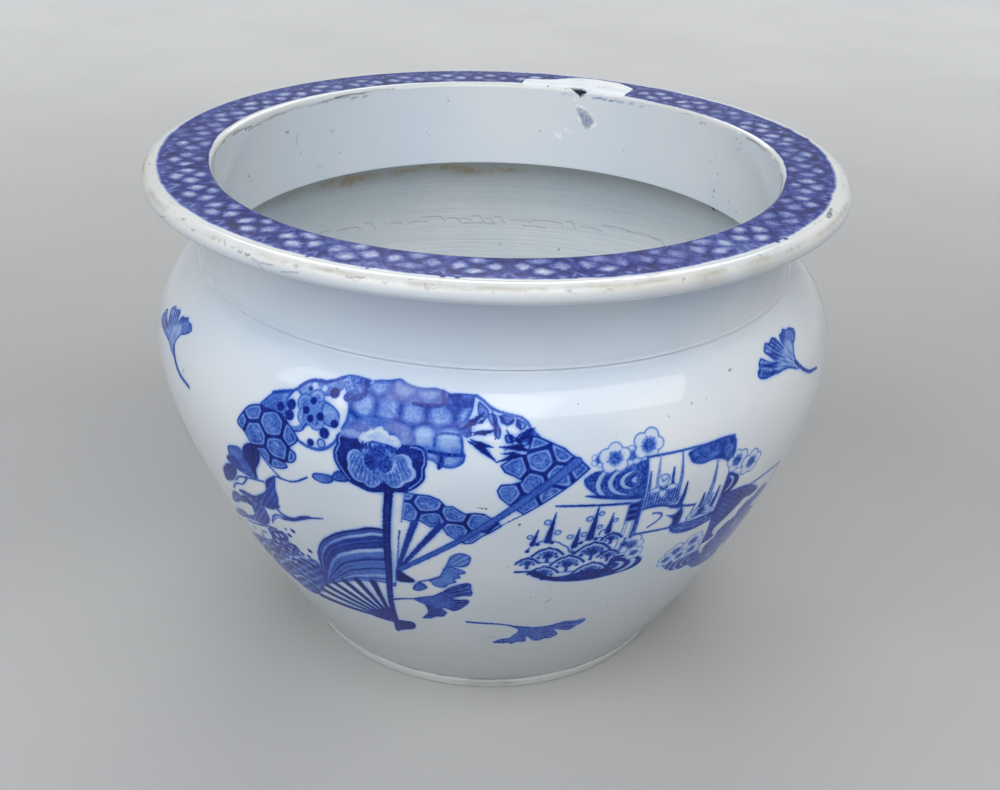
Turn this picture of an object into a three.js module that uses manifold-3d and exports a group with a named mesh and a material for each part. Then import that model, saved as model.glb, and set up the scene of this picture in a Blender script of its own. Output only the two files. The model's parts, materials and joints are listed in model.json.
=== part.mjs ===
// Porcelain jardiniere: a wide pot with a flat beaded rim, made as the thrown and luted sections
// that such a pot is put together from, with the later filling of its chipped rim.
// Millimetres, Z up, the foot stands on Z = 0, and -Y is the front.

import * as THREE from 'three';
import Module from 'manifold-3d';
import { mergeVertices } from 'three/addons/utils/BufferGeometryUtils.js';

// Foot: a trimmed ring, spreading slightly towards the wall above it
const footRadius = 131;
const footSpread = 3;
const footHeight = 8.5;
const footWidth = 12;
const footEdge = 1.2;
const grooveDepth = 1.4;
const grooveHeight = 1.6;

// Body: the floor, the flaring lower wall and the rounded shoulder
const floorThickness = 11;
const wall = 9;
const bellyHeight = 216.6;
const shoulderReach = 31.7;
const shoulderRise = 54.3;
const shoulderRound = 41;
const lowerHandleShares = { outStart: 0.448, upStart: 0.279, upEnd: 0.2206 };

// Throwing rings on the unglazed inside of the lower wall
const ringPitch = 10;
const ringDepth = 0.35;

// Neck: a short, slightly waisted collar with a fine ridge round its foot
const neckBore = 181.5;
const neckWall = 11.5;
const neckHeight = 46;
const neckWaist = 1.6;
const collarFoot = 3.6;
const ridgeSize = 0.9;
const boreSpread = 0.5;

// Rim: a flat flange ending in a thick rolled bead
const rimRise = 15.9;
const flangeReach = 32;
const flangeFillet = 7;
const flangeEdgeThickness = 9.5;
const lipRound = 4;
const beadWidth = 11.5;
const beadHeight = 12;
const beadRoll = 7.5;
const beadPower = 2.3;

// Damage: a filled bite out of the back of the flange, and a chip in the lip beside it
const fillAngle = 18.2;
const fillSpan = 24;
const fillDepth = 2.6;
const fillInset = 4.4;
const fillClearance = 0.3;
const fillCornerShare = 0.3;
const chipAngle = 21.6;
const chipLength = 20;
const chipBite = 2.8;
const chipDrop = 4.5;

// Smoothness of the revolved sections
const segments = 56;
const lowerSteps = 13;
const shoulderSteps = 8;
const neckSteps = 6;
const filletSteps = 4;
const rollSteps = 6;
const lipSteps = 4;

// Heights and radii that follow from the sizes above
const bodyFootRadius = footRadius + footSpread;
const floorTop = footHeight + floorThickness;
const neckRadius = neckBore + neckWall;
const bellyRadius = neckRadius + shoulderReach;
const neckSeat = bellyHeight + shoulderRise;
const collarJoint = neckSeat - collarFoot;
const rimJoint = neckSeat + neckHeight;
const rimTop = rimJoint + rimRise;
const rimRadius = neckRadius + flangeReach;
const beadSeat = rimRadius - beadWidth;
const lipRadius = neckBore + boreSpread;

const glaze = { color: 0xe4e9ee, roughness: 0.16, metalness: 0 };
const bareClay = { color: 0xb9b5a8, roughness: 0.8, metalness: 0 };
const cobaltBand = { color: 0x3a4596, roughness: 0.2, metalness: 0 };
const creamGlaze = { color: 0xeceade, roughness: 0.2, metalness: 0 };
const whiteFiller = { color: 0xf4f6f8, roughness: 0.45, metalness: 0 };

const wasm = await Module();
wasm.setup();

function toManifold(geometry) {
  const bare = new THREE.BufferGeometry();
  bare.setAttribute('position', geometry.getAttribute('position'));
  if (geometry.index) {
    bare.setIndex(geometry.index);
  }
  const merged = mergeVertices(bare, 1e-4);
  return new wasm.Manifold(new wasm.Mesh({
    numProp: 3,
    vertProperties: new Float32Array(merged.getAttribute('position').array),
    triVerts: new Uint32Array(merged.index.array),
  }));
}

function fromManifold(solid) {
  const mesh = solid.getMesh();
  const geometry = new THREE.BufferGeometry();
  geometry.setAttribute('position', new THREE.Float32BufferAttribute(mesh.vertProperties, 3));
  geometry.setIndex(new THREE.Uint32BufferAttribute(mesh.triVerts, 1));
  geometry.computeVertexNormals();
  return geometry;
}

// Revolves an outline of [radius, height] points about Z; a ring's outline is closed here
function revolve(points, isRing = true) {
  const outline = points.map(([radius, z]) => new THREE.Vector2(radius, z));
  if (isRing) {
    outline.push(outline[0].clone());
  }
  const geometry = new THREE.LatheGeometry(outline, segments);
  geometry.rotateX(Math.PI / 2);
  return geometry;
}

// Points of an elliptical arc; a power above 2 squares the curve off
function arc(centre, reach, fromDegrees, toDegrees, steps, power = 2) {
  const points = [];
  for (let i = 0; i <= steps; i += 1) {
    const angle = THREE.MathUtils.degToRad(fromDegrees + (toDegrees - fromDegrees) * i / steps);
    const across = Math.cos(angle);
    const up = Math.sin(angle);
    points.push([
      centre[0] + reach[0] * Math.sign(across) * Math.abs(across) ** (2 / power),
      centre[1] + reach[1] * Math.sign(up) * Math.abs(up) ** (2 / power),
    ]);
  }
  return points;
}

const wallCurve = new THREE.CubicBezierCurve(
  new THREE.Vector2(bodyFootRadius, footHeight + grooveHeight),
  new THREE.Vector2(
    bodyFootRadius + (bellyRadius - bodyFootRadius) * lowerHandleShares.outStart,
    footHeight + grooveHeight + (bellyHeight - footHeight - grooveHeight) * lowerHandleShares.upStart,
  ),
  new THREE.Vector2(
    bellyRadius,
    bellyHeight - (bellyHeight - footHeight - grooveHeight) * lowerHandleShares.upEnd,
  ),
  new THREE.Vector2(bellyRadius, bellyHeight),
);

// A point on the lower wall, moved inwards square to the wall by the given depth
function wallPoint(t, depth) {
  const point = wallCurve.getPoint(t);
  const tangent = wallCurve.getTangent(t);
  return [point.x - depth * tangent.y, point.y + depth * tangent.x];
}

// Where along the lower wall's curve the surface at that depth reaches a height
function wallParameter(height, depth) {
  let low = 0;
  let high = 1;
  for (let i = 0; i < 50; i += 1) {
    const middle = (low + high) / 2;
    if (wallPoint(middle, depth)[1] < height) {
      low = middle;
    } else {
      high = middle;
    }
  }
  return (low + high) / 2;
}

function wallPoints(fromHeight, toHeight, depth, steps) {
  const start = wallParameter(fromHeight, depth);
  const end = toHeight >= bellyHeight ? 1 : wallParameter(toHeight, depth);
  const points = [];
  for (let i = 0; i <= steps; i += 1) {
    points.push(wallPoint(start + (end - start) * i / steps, depth));
  }
  points[0][1] = fromHeight;
  points[steps][1] = toHeight;
  return points;
}

function footRing() {
  const inner = footRadius - footWidth;
  return revolve([
    ...arc([footRadius - footEdge, footEdge], [footEdge, footEdge], -90, 0, 3),
    [bodyFootRadius, footHeight],
    [inner, footHeight],
    [inner, footEdge],
    [inner + footEdge, 0],
  ]);
}

// The floor's top is split where the wall above it stands, so the free floor is a face of its own
function baseSlab() {
  return revolve([
    [0, footHeight],
    [bodyFootRadius - grooveDepth, footHeight],
    ...wallPoints(footHeight + grooveHeight, floorTop, 0, 3),
    wallPoints(floorTop, bellyHeight, wall, 1)[0],
    [0, floorTop],
  ], false);
}

// Rings left by the potter's fingers: two points a ring, none at the ends that meet other sections
function throwingRings(inside) {
  const first = inside[0];
  const last = inside[inside.length - 1];
  const turns = Math.floor((last[1] - first[1]) / ringPitch);
  const points = [first];
  for (let i = 1; i < 2 * turns; i += 1) {
    const z = first[1] + (last[1] - first[1]) * i / (2 * turns);
    const hollow = i % 2 === 0 ? 0 : ringDepth;
    points.push(wallPoint(wallParameter(z, wall), wall - hollow));
  }
  points.push(last);
  return points;
}

function lowerWall() {
  const outside = wallPoints(floorTop, bellyHeight, 0, lowerSteps);
  const inside = throwingRings(wallPoints(floorTop, bellyHeight, wall, 1));
  return revolve([...outside, ...inside.reverse()]);
}

// The shoulder is an elliptical quarter, reaching the neck's ridge at its own height
const shoulderCentre = [bellyRadius - shoulderRound, bellyHeight];
const shoulderTopShare = (neckRadius - shoulderCentre[0]) / shoulderRound;
const shoulderHeight = shoulderRise / Math.sqrt(1 - shoulderTopShare ** 2);

function angleAtHeight(rise, fullRise) {
  return THREE.MathUtils.radToDeg(Math.asin(rise / fullRise));
}

function shoulderWall() {
  const top = angleAtHeight(collarJoint - bellyHeight, shoulderHeight);
  const outside = arc(shoulderCentre, [shoulderRound, shoulderHeight], 0, top, shoulderSteps);
  const insideRound = shoulderRound - neckWall / 2;
  const insideCentre = [bellyRadius - wall - insideRound, bellyHeight];
  const insideShare = (neckBore - insideCentre[0]) / insideRound;
  const insideHeight = (collarJoint - bellyHeight) / Math.sqrt(1 - insideShare ** 2);
  const insideTop = THREE.MathUtils.radToDeg(Math.acos(insideShare));
  const inside = arc(insideCentre, [insideRound, insideHeight], insideTop, 0, shoulderSteps);
  return revolve([...outside, ...inside]);
}

// The collar spreads onto the shoulder, carries the ridge and waists in towards the rim
function neckCollar() {
  const seatAngle = angleAtHeight(collarJoint - bellyHeight, shoulderHeight);
  const ridgeAngle = angleAtHeight(neckSeat - ridgeSize - bellyHeight, shoulderHeight);
  const spread = arc(shoulderCentre, [shoulderRound, shoulderHeight], seatAngle, ridgeAngle, 2);
  const ridge = arc([neckRadius - ridgeSize, neckSeat + ridgeSize], [2 * ridgeSize, ridgeSize], -60, 75, 4);
  const outside = [];
  for (let i = 1; i <= neckSteps; i += 1) {
    const share = i / neckSteps;
    const z = neckSeat + 2 * ridgeSize + (neckHeight - 2 * ridgeSize) * share;
    outside.push([neckRadius - neckWaist * Math.sin(Math.PI * share), z]);
  }
  return revolve([
    ...spread,
    ...ridge,
    ...outside,
    [neckBore + boreSpread * neckHeight / (neckHeight + rimRise + collarFoot), rimJoint],
    [neckBore, collarJoint],
  ]);
}

function flangeSection() {
  const boreAtJoint = neckBore + boreSpread * neckHeight / (neckHeight + rimRise + collarFoot);
  const fillet = arc(
    [neckRadius + flangeFillet, rimTop - flangeEdgeThickness - flangeFillet / 2],
    [flangeFillet, rimTop - flangeEdgeThickness - flangeFillet / 2 - rimJoint],
    180,
    90,
    filletSteps,
  );
  const under = fillet.map(([radius, z]) => [
    radius,
    rimJoint + (z - (rimTop - flangeEdgeThickness - flangeFillet / 2)),
  ]);
  const lip = arc([lipRadius + lipRound, rimTop - lipRound], [lipRound, lipRound], 90, 180, lipSteps);
  return [
    [boreAtJoint, rimJoint],
    ...under,
    [beadSeat, rimTop - flangeEdgeThickness],
    [beadSeat, rimTop],
    ...lip,
  ];
}

// An upright sector of a ring, with its corners cut back, for the fill and for its recess
function sector(innerRadius, outerRadius, span, bottom, top) {
  const half = THREE.MathUtils.degToRad(span) / 2;
  const corner = half * fillCornerShare;
  const middle = (innerRadius + outerRadius) / 2;
  const shape = new THREE.Shape();
  shape.moveTo(Math.cos(-half + corner) * innerRadius, Math.sin(-half + corner) * innerRadius);
  shape.lineTo(Math.cos(-half) * middle, Math.sin(-half) * middle);
  shape.lineTo(Math.cos(-half + corner) * outerRadius, Math.sin(-half + corner) * outerRadius);
  shape.absarc(0, 0, outerRadius, -half + corner, half - corner, false);
  shape.lineTo(Math.cos(half) * middle, Math.sin(half) * middle);
  shape.lineTo(Math.cos(half - corner) * innerRadius, Math.sin(half - corner) * innerRadius);
  shape.absarc(0, 0, innerRadius, half - corner, -half + corner, true);
  const geometry = new THREE.ExtrudeGeometry(shape, {
    depth: top - bottom,
    bevelEnabled: false,
    curveSegments: 6,
  });
  geometry.translate(0, 0, bottom);
  geometry.rotateZ(Math.PI / 2 - THREE.MathUtils.degToRad(fillAngle));
  return geometry;
}

function rimFlange() {
  const overrun = fillDepth;
  const recess = toManifold(sector(
    lipRadius + fillInset,
    beadSeat - fillInset + fillClearance,
    fillSpan,
    rimTop - fillDepth,
    rimTop + overrun,
  ));
  const chip = new THREE.SphereGeometry(1, 10, 8);
  chip.scale(chipBite, chipLength / 2, chipDrop);
  chip.translate(lipRadius, 0, rimTop);
  chip.rotateZ(Math.PI / 2 - THREE.MathUtils.degToRad(chipAngle));
  const flange = toManifold(revolve(flangeSection()));
  return fromManifold(flange.subtract(recess).subtract(toManifold(chip)));
}

function rimBead() {
  const rollCentre = [rimRadius - beadRoll, rimTop - beadHeight / 2];
  return revolve([
    [beadSeat, rimTop - beadHeight],
    ...arc(rollCentre, [beadRoll, beadHeight / 2], -90, 90, 2 * rollSteps, beadPower),
    [beadSeat, rimTop],
  ]);
}

function rimFill() {
  const clearanceDegrees = THREE.MathUtils.radToDeg(fillClearance / beadSeat) * 2;
  return sector(
    lipRadius + fillInset + fillClearance,
    beadSeat - fillInset,
    fillSpan - 2 * clearanceDegrees,
    rimTop - fillDepth,
    rimTop,
  );
}

const jardiniere = new THREE.Group();

function add(name, geometry, finish) {
  const mesh = new THREE.Mesh(geometry, new THREE.MeshStandardMaterial(finish));
  mesh.name = name;
  jardiniere.add(mesh);
}

add('foot_ring', footRing(), glaze);
add('base_slab', baseSlab(), bareClay);
add('lower_wall', lowerWall(), glaze);
add('shoulder_wall', shoulderWall(), glaze);
add('neck_collar', neckCollar(), glaze);
add('rim_flange', rimFlange(), cobaltBand);
add('rim_bead', rimBead(), creamGlaze);
add('rim_repair_fill', rimFill(), whiteFiller);

export default jardiniere;
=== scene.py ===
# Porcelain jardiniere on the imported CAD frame: glazed shells, the rim band and the printed body.
import json
import math

import bpy
import numpy as np
from mathutils import Matrix, Vector

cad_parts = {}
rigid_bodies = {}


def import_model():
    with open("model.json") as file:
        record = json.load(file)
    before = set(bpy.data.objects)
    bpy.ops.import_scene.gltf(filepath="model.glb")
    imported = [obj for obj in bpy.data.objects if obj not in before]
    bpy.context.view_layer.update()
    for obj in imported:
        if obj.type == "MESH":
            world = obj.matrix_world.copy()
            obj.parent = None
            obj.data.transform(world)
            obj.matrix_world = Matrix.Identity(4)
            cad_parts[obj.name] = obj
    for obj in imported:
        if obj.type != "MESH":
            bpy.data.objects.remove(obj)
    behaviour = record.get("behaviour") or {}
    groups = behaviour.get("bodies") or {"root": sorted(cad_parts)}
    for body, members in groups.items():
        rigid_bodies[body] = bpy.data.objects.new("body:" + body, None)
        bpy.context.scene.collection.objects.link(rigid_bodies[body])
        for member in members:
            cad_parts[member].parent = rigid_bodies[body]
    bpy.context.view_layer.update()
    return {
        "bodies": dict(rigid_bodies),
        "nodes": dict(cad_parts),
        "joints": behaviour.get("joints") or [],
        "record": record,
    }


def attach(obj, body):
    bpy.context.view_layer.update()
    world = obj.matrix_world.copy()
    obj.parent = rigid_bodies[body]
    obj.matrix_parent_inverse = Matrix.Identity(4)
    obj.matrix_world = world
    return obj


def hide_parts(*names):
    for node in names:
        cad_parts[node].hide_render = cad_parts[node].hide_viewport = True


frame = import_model()
MM = 0.001

# Sizes in millimetres, the same as the CAD model's
FOOT_RADIUS = 131
FOOT_SPREAD = 3
FOOT_HEIGHT = 8.5
FOOT_WIDTH = 12
FOOT_EDGE = 1.2
GROOVE_DEPTH = 1.4
GROOVE_HEIGHT = 1.6
FLOOR_THICKNESS = 11
FLOOR_FILLET = 7
WALL = 9
BELLY_HEIGHT = 216.6
SHOULDER_REACH = 31.7
SHOULDER_RISE = 54.3
SHOULDER_ROUND = 41
OUT_START_SHARE = 0.448
UP_START_SHARE = 0.279
UP_END_SHARE = 0.2206
NECK_BORE = 181.5
NECK_WALL = 11.5
NECK_HEIGHT = 46
NECK_WAIST = 1.6
RIDGE_SIZE = 0.9
BORE_SPREAD = 0.5
RIM_RISE = 15.9
FLANGE_REACH = 32
FLANGE_FILLET = 7
FLANGE_EDGE = 9.5
LIP_ROUND = 4
BEAD_WIDTH = 11.5
BEAD_HEIGHT = 12
BEAD_ROLL = 7.5
BEAD_POWER = 2.3
BAND_INNER = 186
BAND_END = 216.5
BAND_DROP = 0.15
GLAZE_EDGE_DROP = 1.9
GLAZE_THICKNESS = 0.7

BODY_FOOT_RADIUS = FOOT_RADIUS + FOOT_SPREAD
FLOOR_TOP = FOOT_HEIGHT + FLOOR_THICKNESS
NECK_RADIUS = NECK_BORE + NECK_WALL
BELLY_RADIUS = NECK_RADIUS + SHOULDER_REACH
NECK_SEAT = BELLY_HEIGHT + SHOULDER_RISE
RIM_JOINT = NECK_SEAT + NECK_HEIGHT
RIM_TOP = RIM_JOINT + RIM_RISE
RIM_RADIUS = NECK_RADIUS + FLANGE_REACH
BEAD_SEAT = RIM_RADIUS - BEAD_WIDTH
LIP_RADIUS = NECK_BORE + BORE_SPREAD

# Camera fitted to the rim, lip, neck, foot and outline of the photographed pot: metres, radians, mm
CAMERA_PLACE = (0, -0.8207, 0.5827)
CAMERA_TURN = (0.47988, 0.00755, 0.03222)
CAMERA_LENS = 46.8


def make_camera():
    pitch, yaw, roll = CAMERA_TURN
    forward = Vector((math.sin(yaw) * math.cos(pitch), math.cos(yaw) * math.cos(pitch), -math.sin(pitch)))
    right = forward.cross(Vector((0, 0, 1))).normalized()
    up = right.cross(forward)
    turned_right = math.cos(roll) * right + math.sin(roll) * up
    turned_up = -math.sin(roll) * right + math.cos(roll) * up
    data = bpy.data.cameras.new("camera")
    data.sensor_fit = "HORIZONTAL"
    data.sensor_width = 36
    data.lens = CAMERA_LENS
    data.clip_start = 0.05
    camera = bpy.data.objects.new("camera", data)
    bpy.context.scene.collection.objects.link(camera)
    turn = Matrix((turned_right, turned_up, -forward)).transposed().to_4x4()
    camera.matrix_world = Matrix.Translation(CAMERA_PLACE) @ turn
    bpy.context.scene.camera = camera


# Outlines as arrays of [radius, height] in millimetres
def arc(centre, reach, start, end, steps, power=2.0):
    angles = np.radians(np.linspace(start, end, steps + 1))
    across = np.sign(np.cos(angles)) * np.abs(np.cos(angles)) ** (2 / power)
    up = np.sign(np.sin(angles)) * np.abs(np.sin(angles)) ** (2 / power)
    return np.stack([centre[0] + reach[0] * across, centre[1] + reach[1] * up], 1)


def line(start, end, steps=1):
    share = np.linspace(0, 1, steps + 1)[:, None]
    return np.array(start, float) * (1 - share) + np.array(end, float) * share


def joined(*parts):
    points = np.concatenate(parts)
    kept = [points[0]]
    for point in points[1:]:
        if np.hypot(*(point - kept[-1])) > 0.03:
            kept.append(point)
    return np.array(kept)


def wall_curve(steps, depth=0.0):
    start = np.array([BODY_FOOT_RADIUS, FOOT_HEIGHT + GROOVE_HEIGHT])
    span = np.array([BELLY_RADIUS, BELLY_HEIGHT]) - start
    shares = (0, 0), (OUT_START_SHARE, UP_START_SHARE), (1, 1 - UP_END_SHARE), (1, 1)
    a, b, c, d = (start + span * share for share in shares)
    t = np.linspace(0, 1, steps + 1)[:, None]
    points = (1 - t) ** 3 * a + 3 * (1 - t) ** 2 * t * b + 3 * (1 - t) * t**2 * c + t**3 * d
    slope = np.gradient(points, axis=0)
    slope /= np.linalg.norm(slope, axis=1)[:, None]
    return points + depth * np.stack([-slope[:, 1], slope[:, 0]], 1)


SHOULDER_CENTRE = (BELLY_RADIUS - SHOULDER_ROUND, BELLY_HEIGHT)
SHOULDER_TOP_SHARE = (NECK_RADIUS - SHOULDER_CENTRE[0]) / SHOULDER_ROUND
SHOULDER_HEIGHT = SHOULDER_RISE / math.sqrt(1 - SHOULDER_TOP_SHARE**2)


def body_outline():
    ridge_angle = math.degrees(math.asin((NECK_SEAT - RIDGE_SIZE - BELLY_HEIGHT) / SHOULDER_HEIGHT))
    return joined(
        wall_curve(150),
        arc(SHOULDER_CENTRE, (SHOULDER_ROUND, SHOULDER_HEIGHT), 0, ridge_angle, 50),
    )


def outer_outline():
    """From the foot's outer edge up to the seat of the bead."""
    ridge = (NECK_RADIUS - RIDGE_SIZE, NECK_SEAT + RIDGE_SIZE)
    share = np.linspace(0, 1, 31)[1:]
    across = NECK_RADIUS - NECK_WAIST * np.sin(np.pi * share)
    up = NECK_SEAT + 2 * RIDGE_SIZE + (NECK_HEIGHT - 2 * RIDGE_SIZE) * share
    under = RIM_TOP - FLANGE_EDGE
    groove = BODY_FOOT_RADIUS - GROOVE_DEPTH
    return joined(
        line((FOOT_RADIUS, FOOT_EDGE), (BODY_FOOT_RADIUS - 0.3, FOOT_HEIGHT - 0.8), 4),
        arc((BODY_FOOT_RADIUS - 1, FOOT_HEIGHT - 0.6), (0.8, 0.6), 0, 90, 4),
        line((groove, FOOT_HEIGHT + 0.1), (groove, FOOT_HEIGHT + 0.8)),
        body_outline(),
        arc(ridge, (2 * RIDGE_SIZE, RIDGE_SIZE), -60, 75, 10),
        np.stack([across, up], 1),
        arc((NECK_RADIUS + FLANGE_FILLET, RIM_JOINT), (FLANGE_FILLET, under - RIM_JOINT), 180, 90, 12),
        line((NECK_RADIUS + FLANGE_FILLET, under), (BEAD_SEAT, under), 6),
    )


def neck_outline():
    """From the lip's foot down the glazed bore to the glaze's edge."""
    edge = NECK_SEAT - GLAZE_EDGE_DROP
    return joined(
        line((LIP_RADIUS, RIM_TOP - LIP_ROUND), (NECK_BORE, edge + GLAZE_THICKNESS), 24),
        arc((NECK_BORE + GLAZE_THICKNESS, edge + GLAZE_THICKNESS), (GLAZE_THICKNESS,) * 2, 180, 270, 5),
    )


def inside_outline():
    """From the glaze's edge down the unglazed inside to the middle of the floor."""
    round_inside = SHOULDER_ROUND - NECK_WALL / 2
    centre = (BELLY_RADIUS - WALL - round_inside, BELLY_HEIGHT)
    share = (NECK_BORE + GLAZE_THICKNESS - centre[0]) / round_inside
    height = (NECK_SEAT - GLAZE_EDGE_DROP - BELLY_HEIGHT) / math.sqrt(1 - share**2)
    top = math.degrees(math.acos(share))
    low = wall_curve(150, WALL)[::-1]
    corner = FLOOR_TOP + FLOOR_FILLET * 0.55
    low = low[(low[:, 1] > corner) & (low[:, 1] < BELLY_HEIGHT - 0.8)]
    fillet = [(0.8, 0.6), (1.4, 0.15), (2.2, 0.02)]
    return joined(
        arc(centre, (round_inside, height), top, 0, 40),
        low,
        [(low[-1, 0] - FLOOR_FILLET * share, FLOOR_TOP + rise) for share, rise in fillet],
        line((low[-1, 0] - FLOOR_FILLET * 2.4, FLOOR_TOP), (0.01, FLOOR_TOP), 24),
    )


def foot_outline():
    """From the middle of the recess under the floor, down the foot's inner side to its outer edge."""
    inner = FOOT_RADIUS - FOOT_WIDTH
    return joined(
        line((0.01, FOOT_HEIGHT), (inner - 2, FOOT_HEIGHT), 20),
        arc((inner - 2, FOOT_HEIGHT - 2), (2, 2), 90, 0, 5),
        line((inner, FOOT_HEIGHT - 2), (inner, FOOT_EDGE)),
        arc((inner + FOOT_EDGE, FOOT_EDGE), (FOOT_EDGE, FOOT_EDGE), 180, 270, 5),
        line((inner + FOOT_EDGE, 0), (FOOT_RADIUS - FOOT_EDGE, 0), 4),
        arc((FOOT_RADIUS - FOOT_EDGE, FOOT_EDGE), (FOOT_EDGE, FOOT_EDGE), -90, 0, 5),
    )


# Meshes
MAP_MARGIN = 0.01


def folded_map(rows, columns, strips):
    """Texture places for the cells of a long grid, cut into strips that lie one above another."""
    column = np.arange(columns)
    strip = column * strips // columns
    first = -(-np.arange(strips + 1) * columns // strips)
    width = np.diff(first)[strip]
    size = 1 - 2 * MAP_MARGIN
    left, right = ((column - first[strip] + side) / width * size + MAP_MARGIN for side in (0, 1))
    row = np.arange(rows)[:, None]
    low, high = ((strip + MAP_MARGIN + size * (row + side) / rows) / strips for side in (0, 1))
    corners = ((left, low), (right, low), (right, high), (left, high))
    return np.stack([np.stack(np.broadcast_arrays(*corner), 2) for corner in corners], 2)


def mesh_object(name, points, faces, material, slot, values=None, texture=None):
    mesh = bpy.data.meshes.new(name)
    mesh.from_pydata((np.asarray(points) * MM).tolist(), [], np.asarray(faces).tolist())
    mesh.polygons.foreach_set("use_smooth", np.ones(len(mesh.polygons), bool))
    if texture is not None:
        texture_map = mesh.uv_layers.new(name="OFBake")
        texture_map.data.foreach_set("uv", np.asarray(texture, np.float32).ravel())
    for key, numbers in (values or {}).items():
        layer = mesh.attributes.new(key, "FLOAT", "POINT")
        layer.data.foreach_set("value", np.asarray(numbers, np.float32).ravel())
    mesh.materials.append(material)
    mesh.update()
    piece = bpy.data.objects.new(name, mesh)
    bpy.context.scene.collection.objects.link(piece)
    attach(piece, "root")
    return piece


def grid_faces(index):
    """Quads between the rows and columns of a grid of point numbers."""
    return np.stack([index[:-1, :-1], index[:-1, 1:], index[1:, 1:], index[1:, :-1]], 2)


def lathe(name, outline, material, slot, strips, segments=400):
    angles = np.linspace(0, 2 * np.pi, segments, endpoint=False)
    radius, height = outline[:, :1], np.repeat(outline[:, 1:], segments, 1)
    points = np.stack([radius * np.cos(angles), radius * np.sin(angles), height], 2).reshape(-1, 3)
    index = np.arange(len(points)).reshape(-1, segments)
    faces = grid_faces(np.concatenate([index, index[:, :1]], 1)).reshape(-1, 4)
    texture = folded_map(len(outline) - 1, segments, strips)
    return mesh_object(name, points, faces, material, slot, texture=texture)


# Printed body: a picture 120 degrees wide, drawn in millimetres and repeated three times.
# x runs round the belly from the front, towards +X, and y up the outside from the body's foot.
PRINT_RADIUS = 225.0
REPEAT = 2 * math.pi * PRINT_RADIUS / 3
PRINT_LEFT = -219.0
PRINT_LOW = 58.0
PRINT_HIGH = 287.0
PRINT_COLUMNS = 942
PRINT_STEP = REPEAT / PRINT_COLUMNS
MARGIN_COLUMNS = 120
EDGE_BLUR = 0.75
FAN, PEONY, HALF_FAN, CRANES, LEAVES, CARDS, SPRIG = range(7)
MOTIF_NAMES = ("fan", "peony", "half_fan", "cranes_and_waves", "ginkgo_leaves", "garden_cards",
               "ginkgo_sprig")


def smooth_path(points, closed, steps=5):
    """Catmull-Rom curve through the points."""
    points = np.array(points, float)
    if closed:
        held = np.concatenate([points[-1:], points, points[:2]])
    else:
        held = np.concatenate([2 * points[:1] - points[1:2], points, 2 * points[-1:] - points[-2:-1]])
    t = np.linspace(0, 1, steps, endpoint=False)[None, :, None]
    a, b, c, d = (held[i : len(held) - 3 + i, None, :] for i in range(4))
    square, cube = (2 * a - 5 * b + 4 * c - d) * t**2, (3 * b - a - 3 * c + d) * t**3
    curve = 0.5 * (2 * b + (c - a) * t + square + cube)
    curve = curve.reshape(-1, 2)
    return curve if closed else np.concatenate([curve, points[-1:]])


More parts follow.
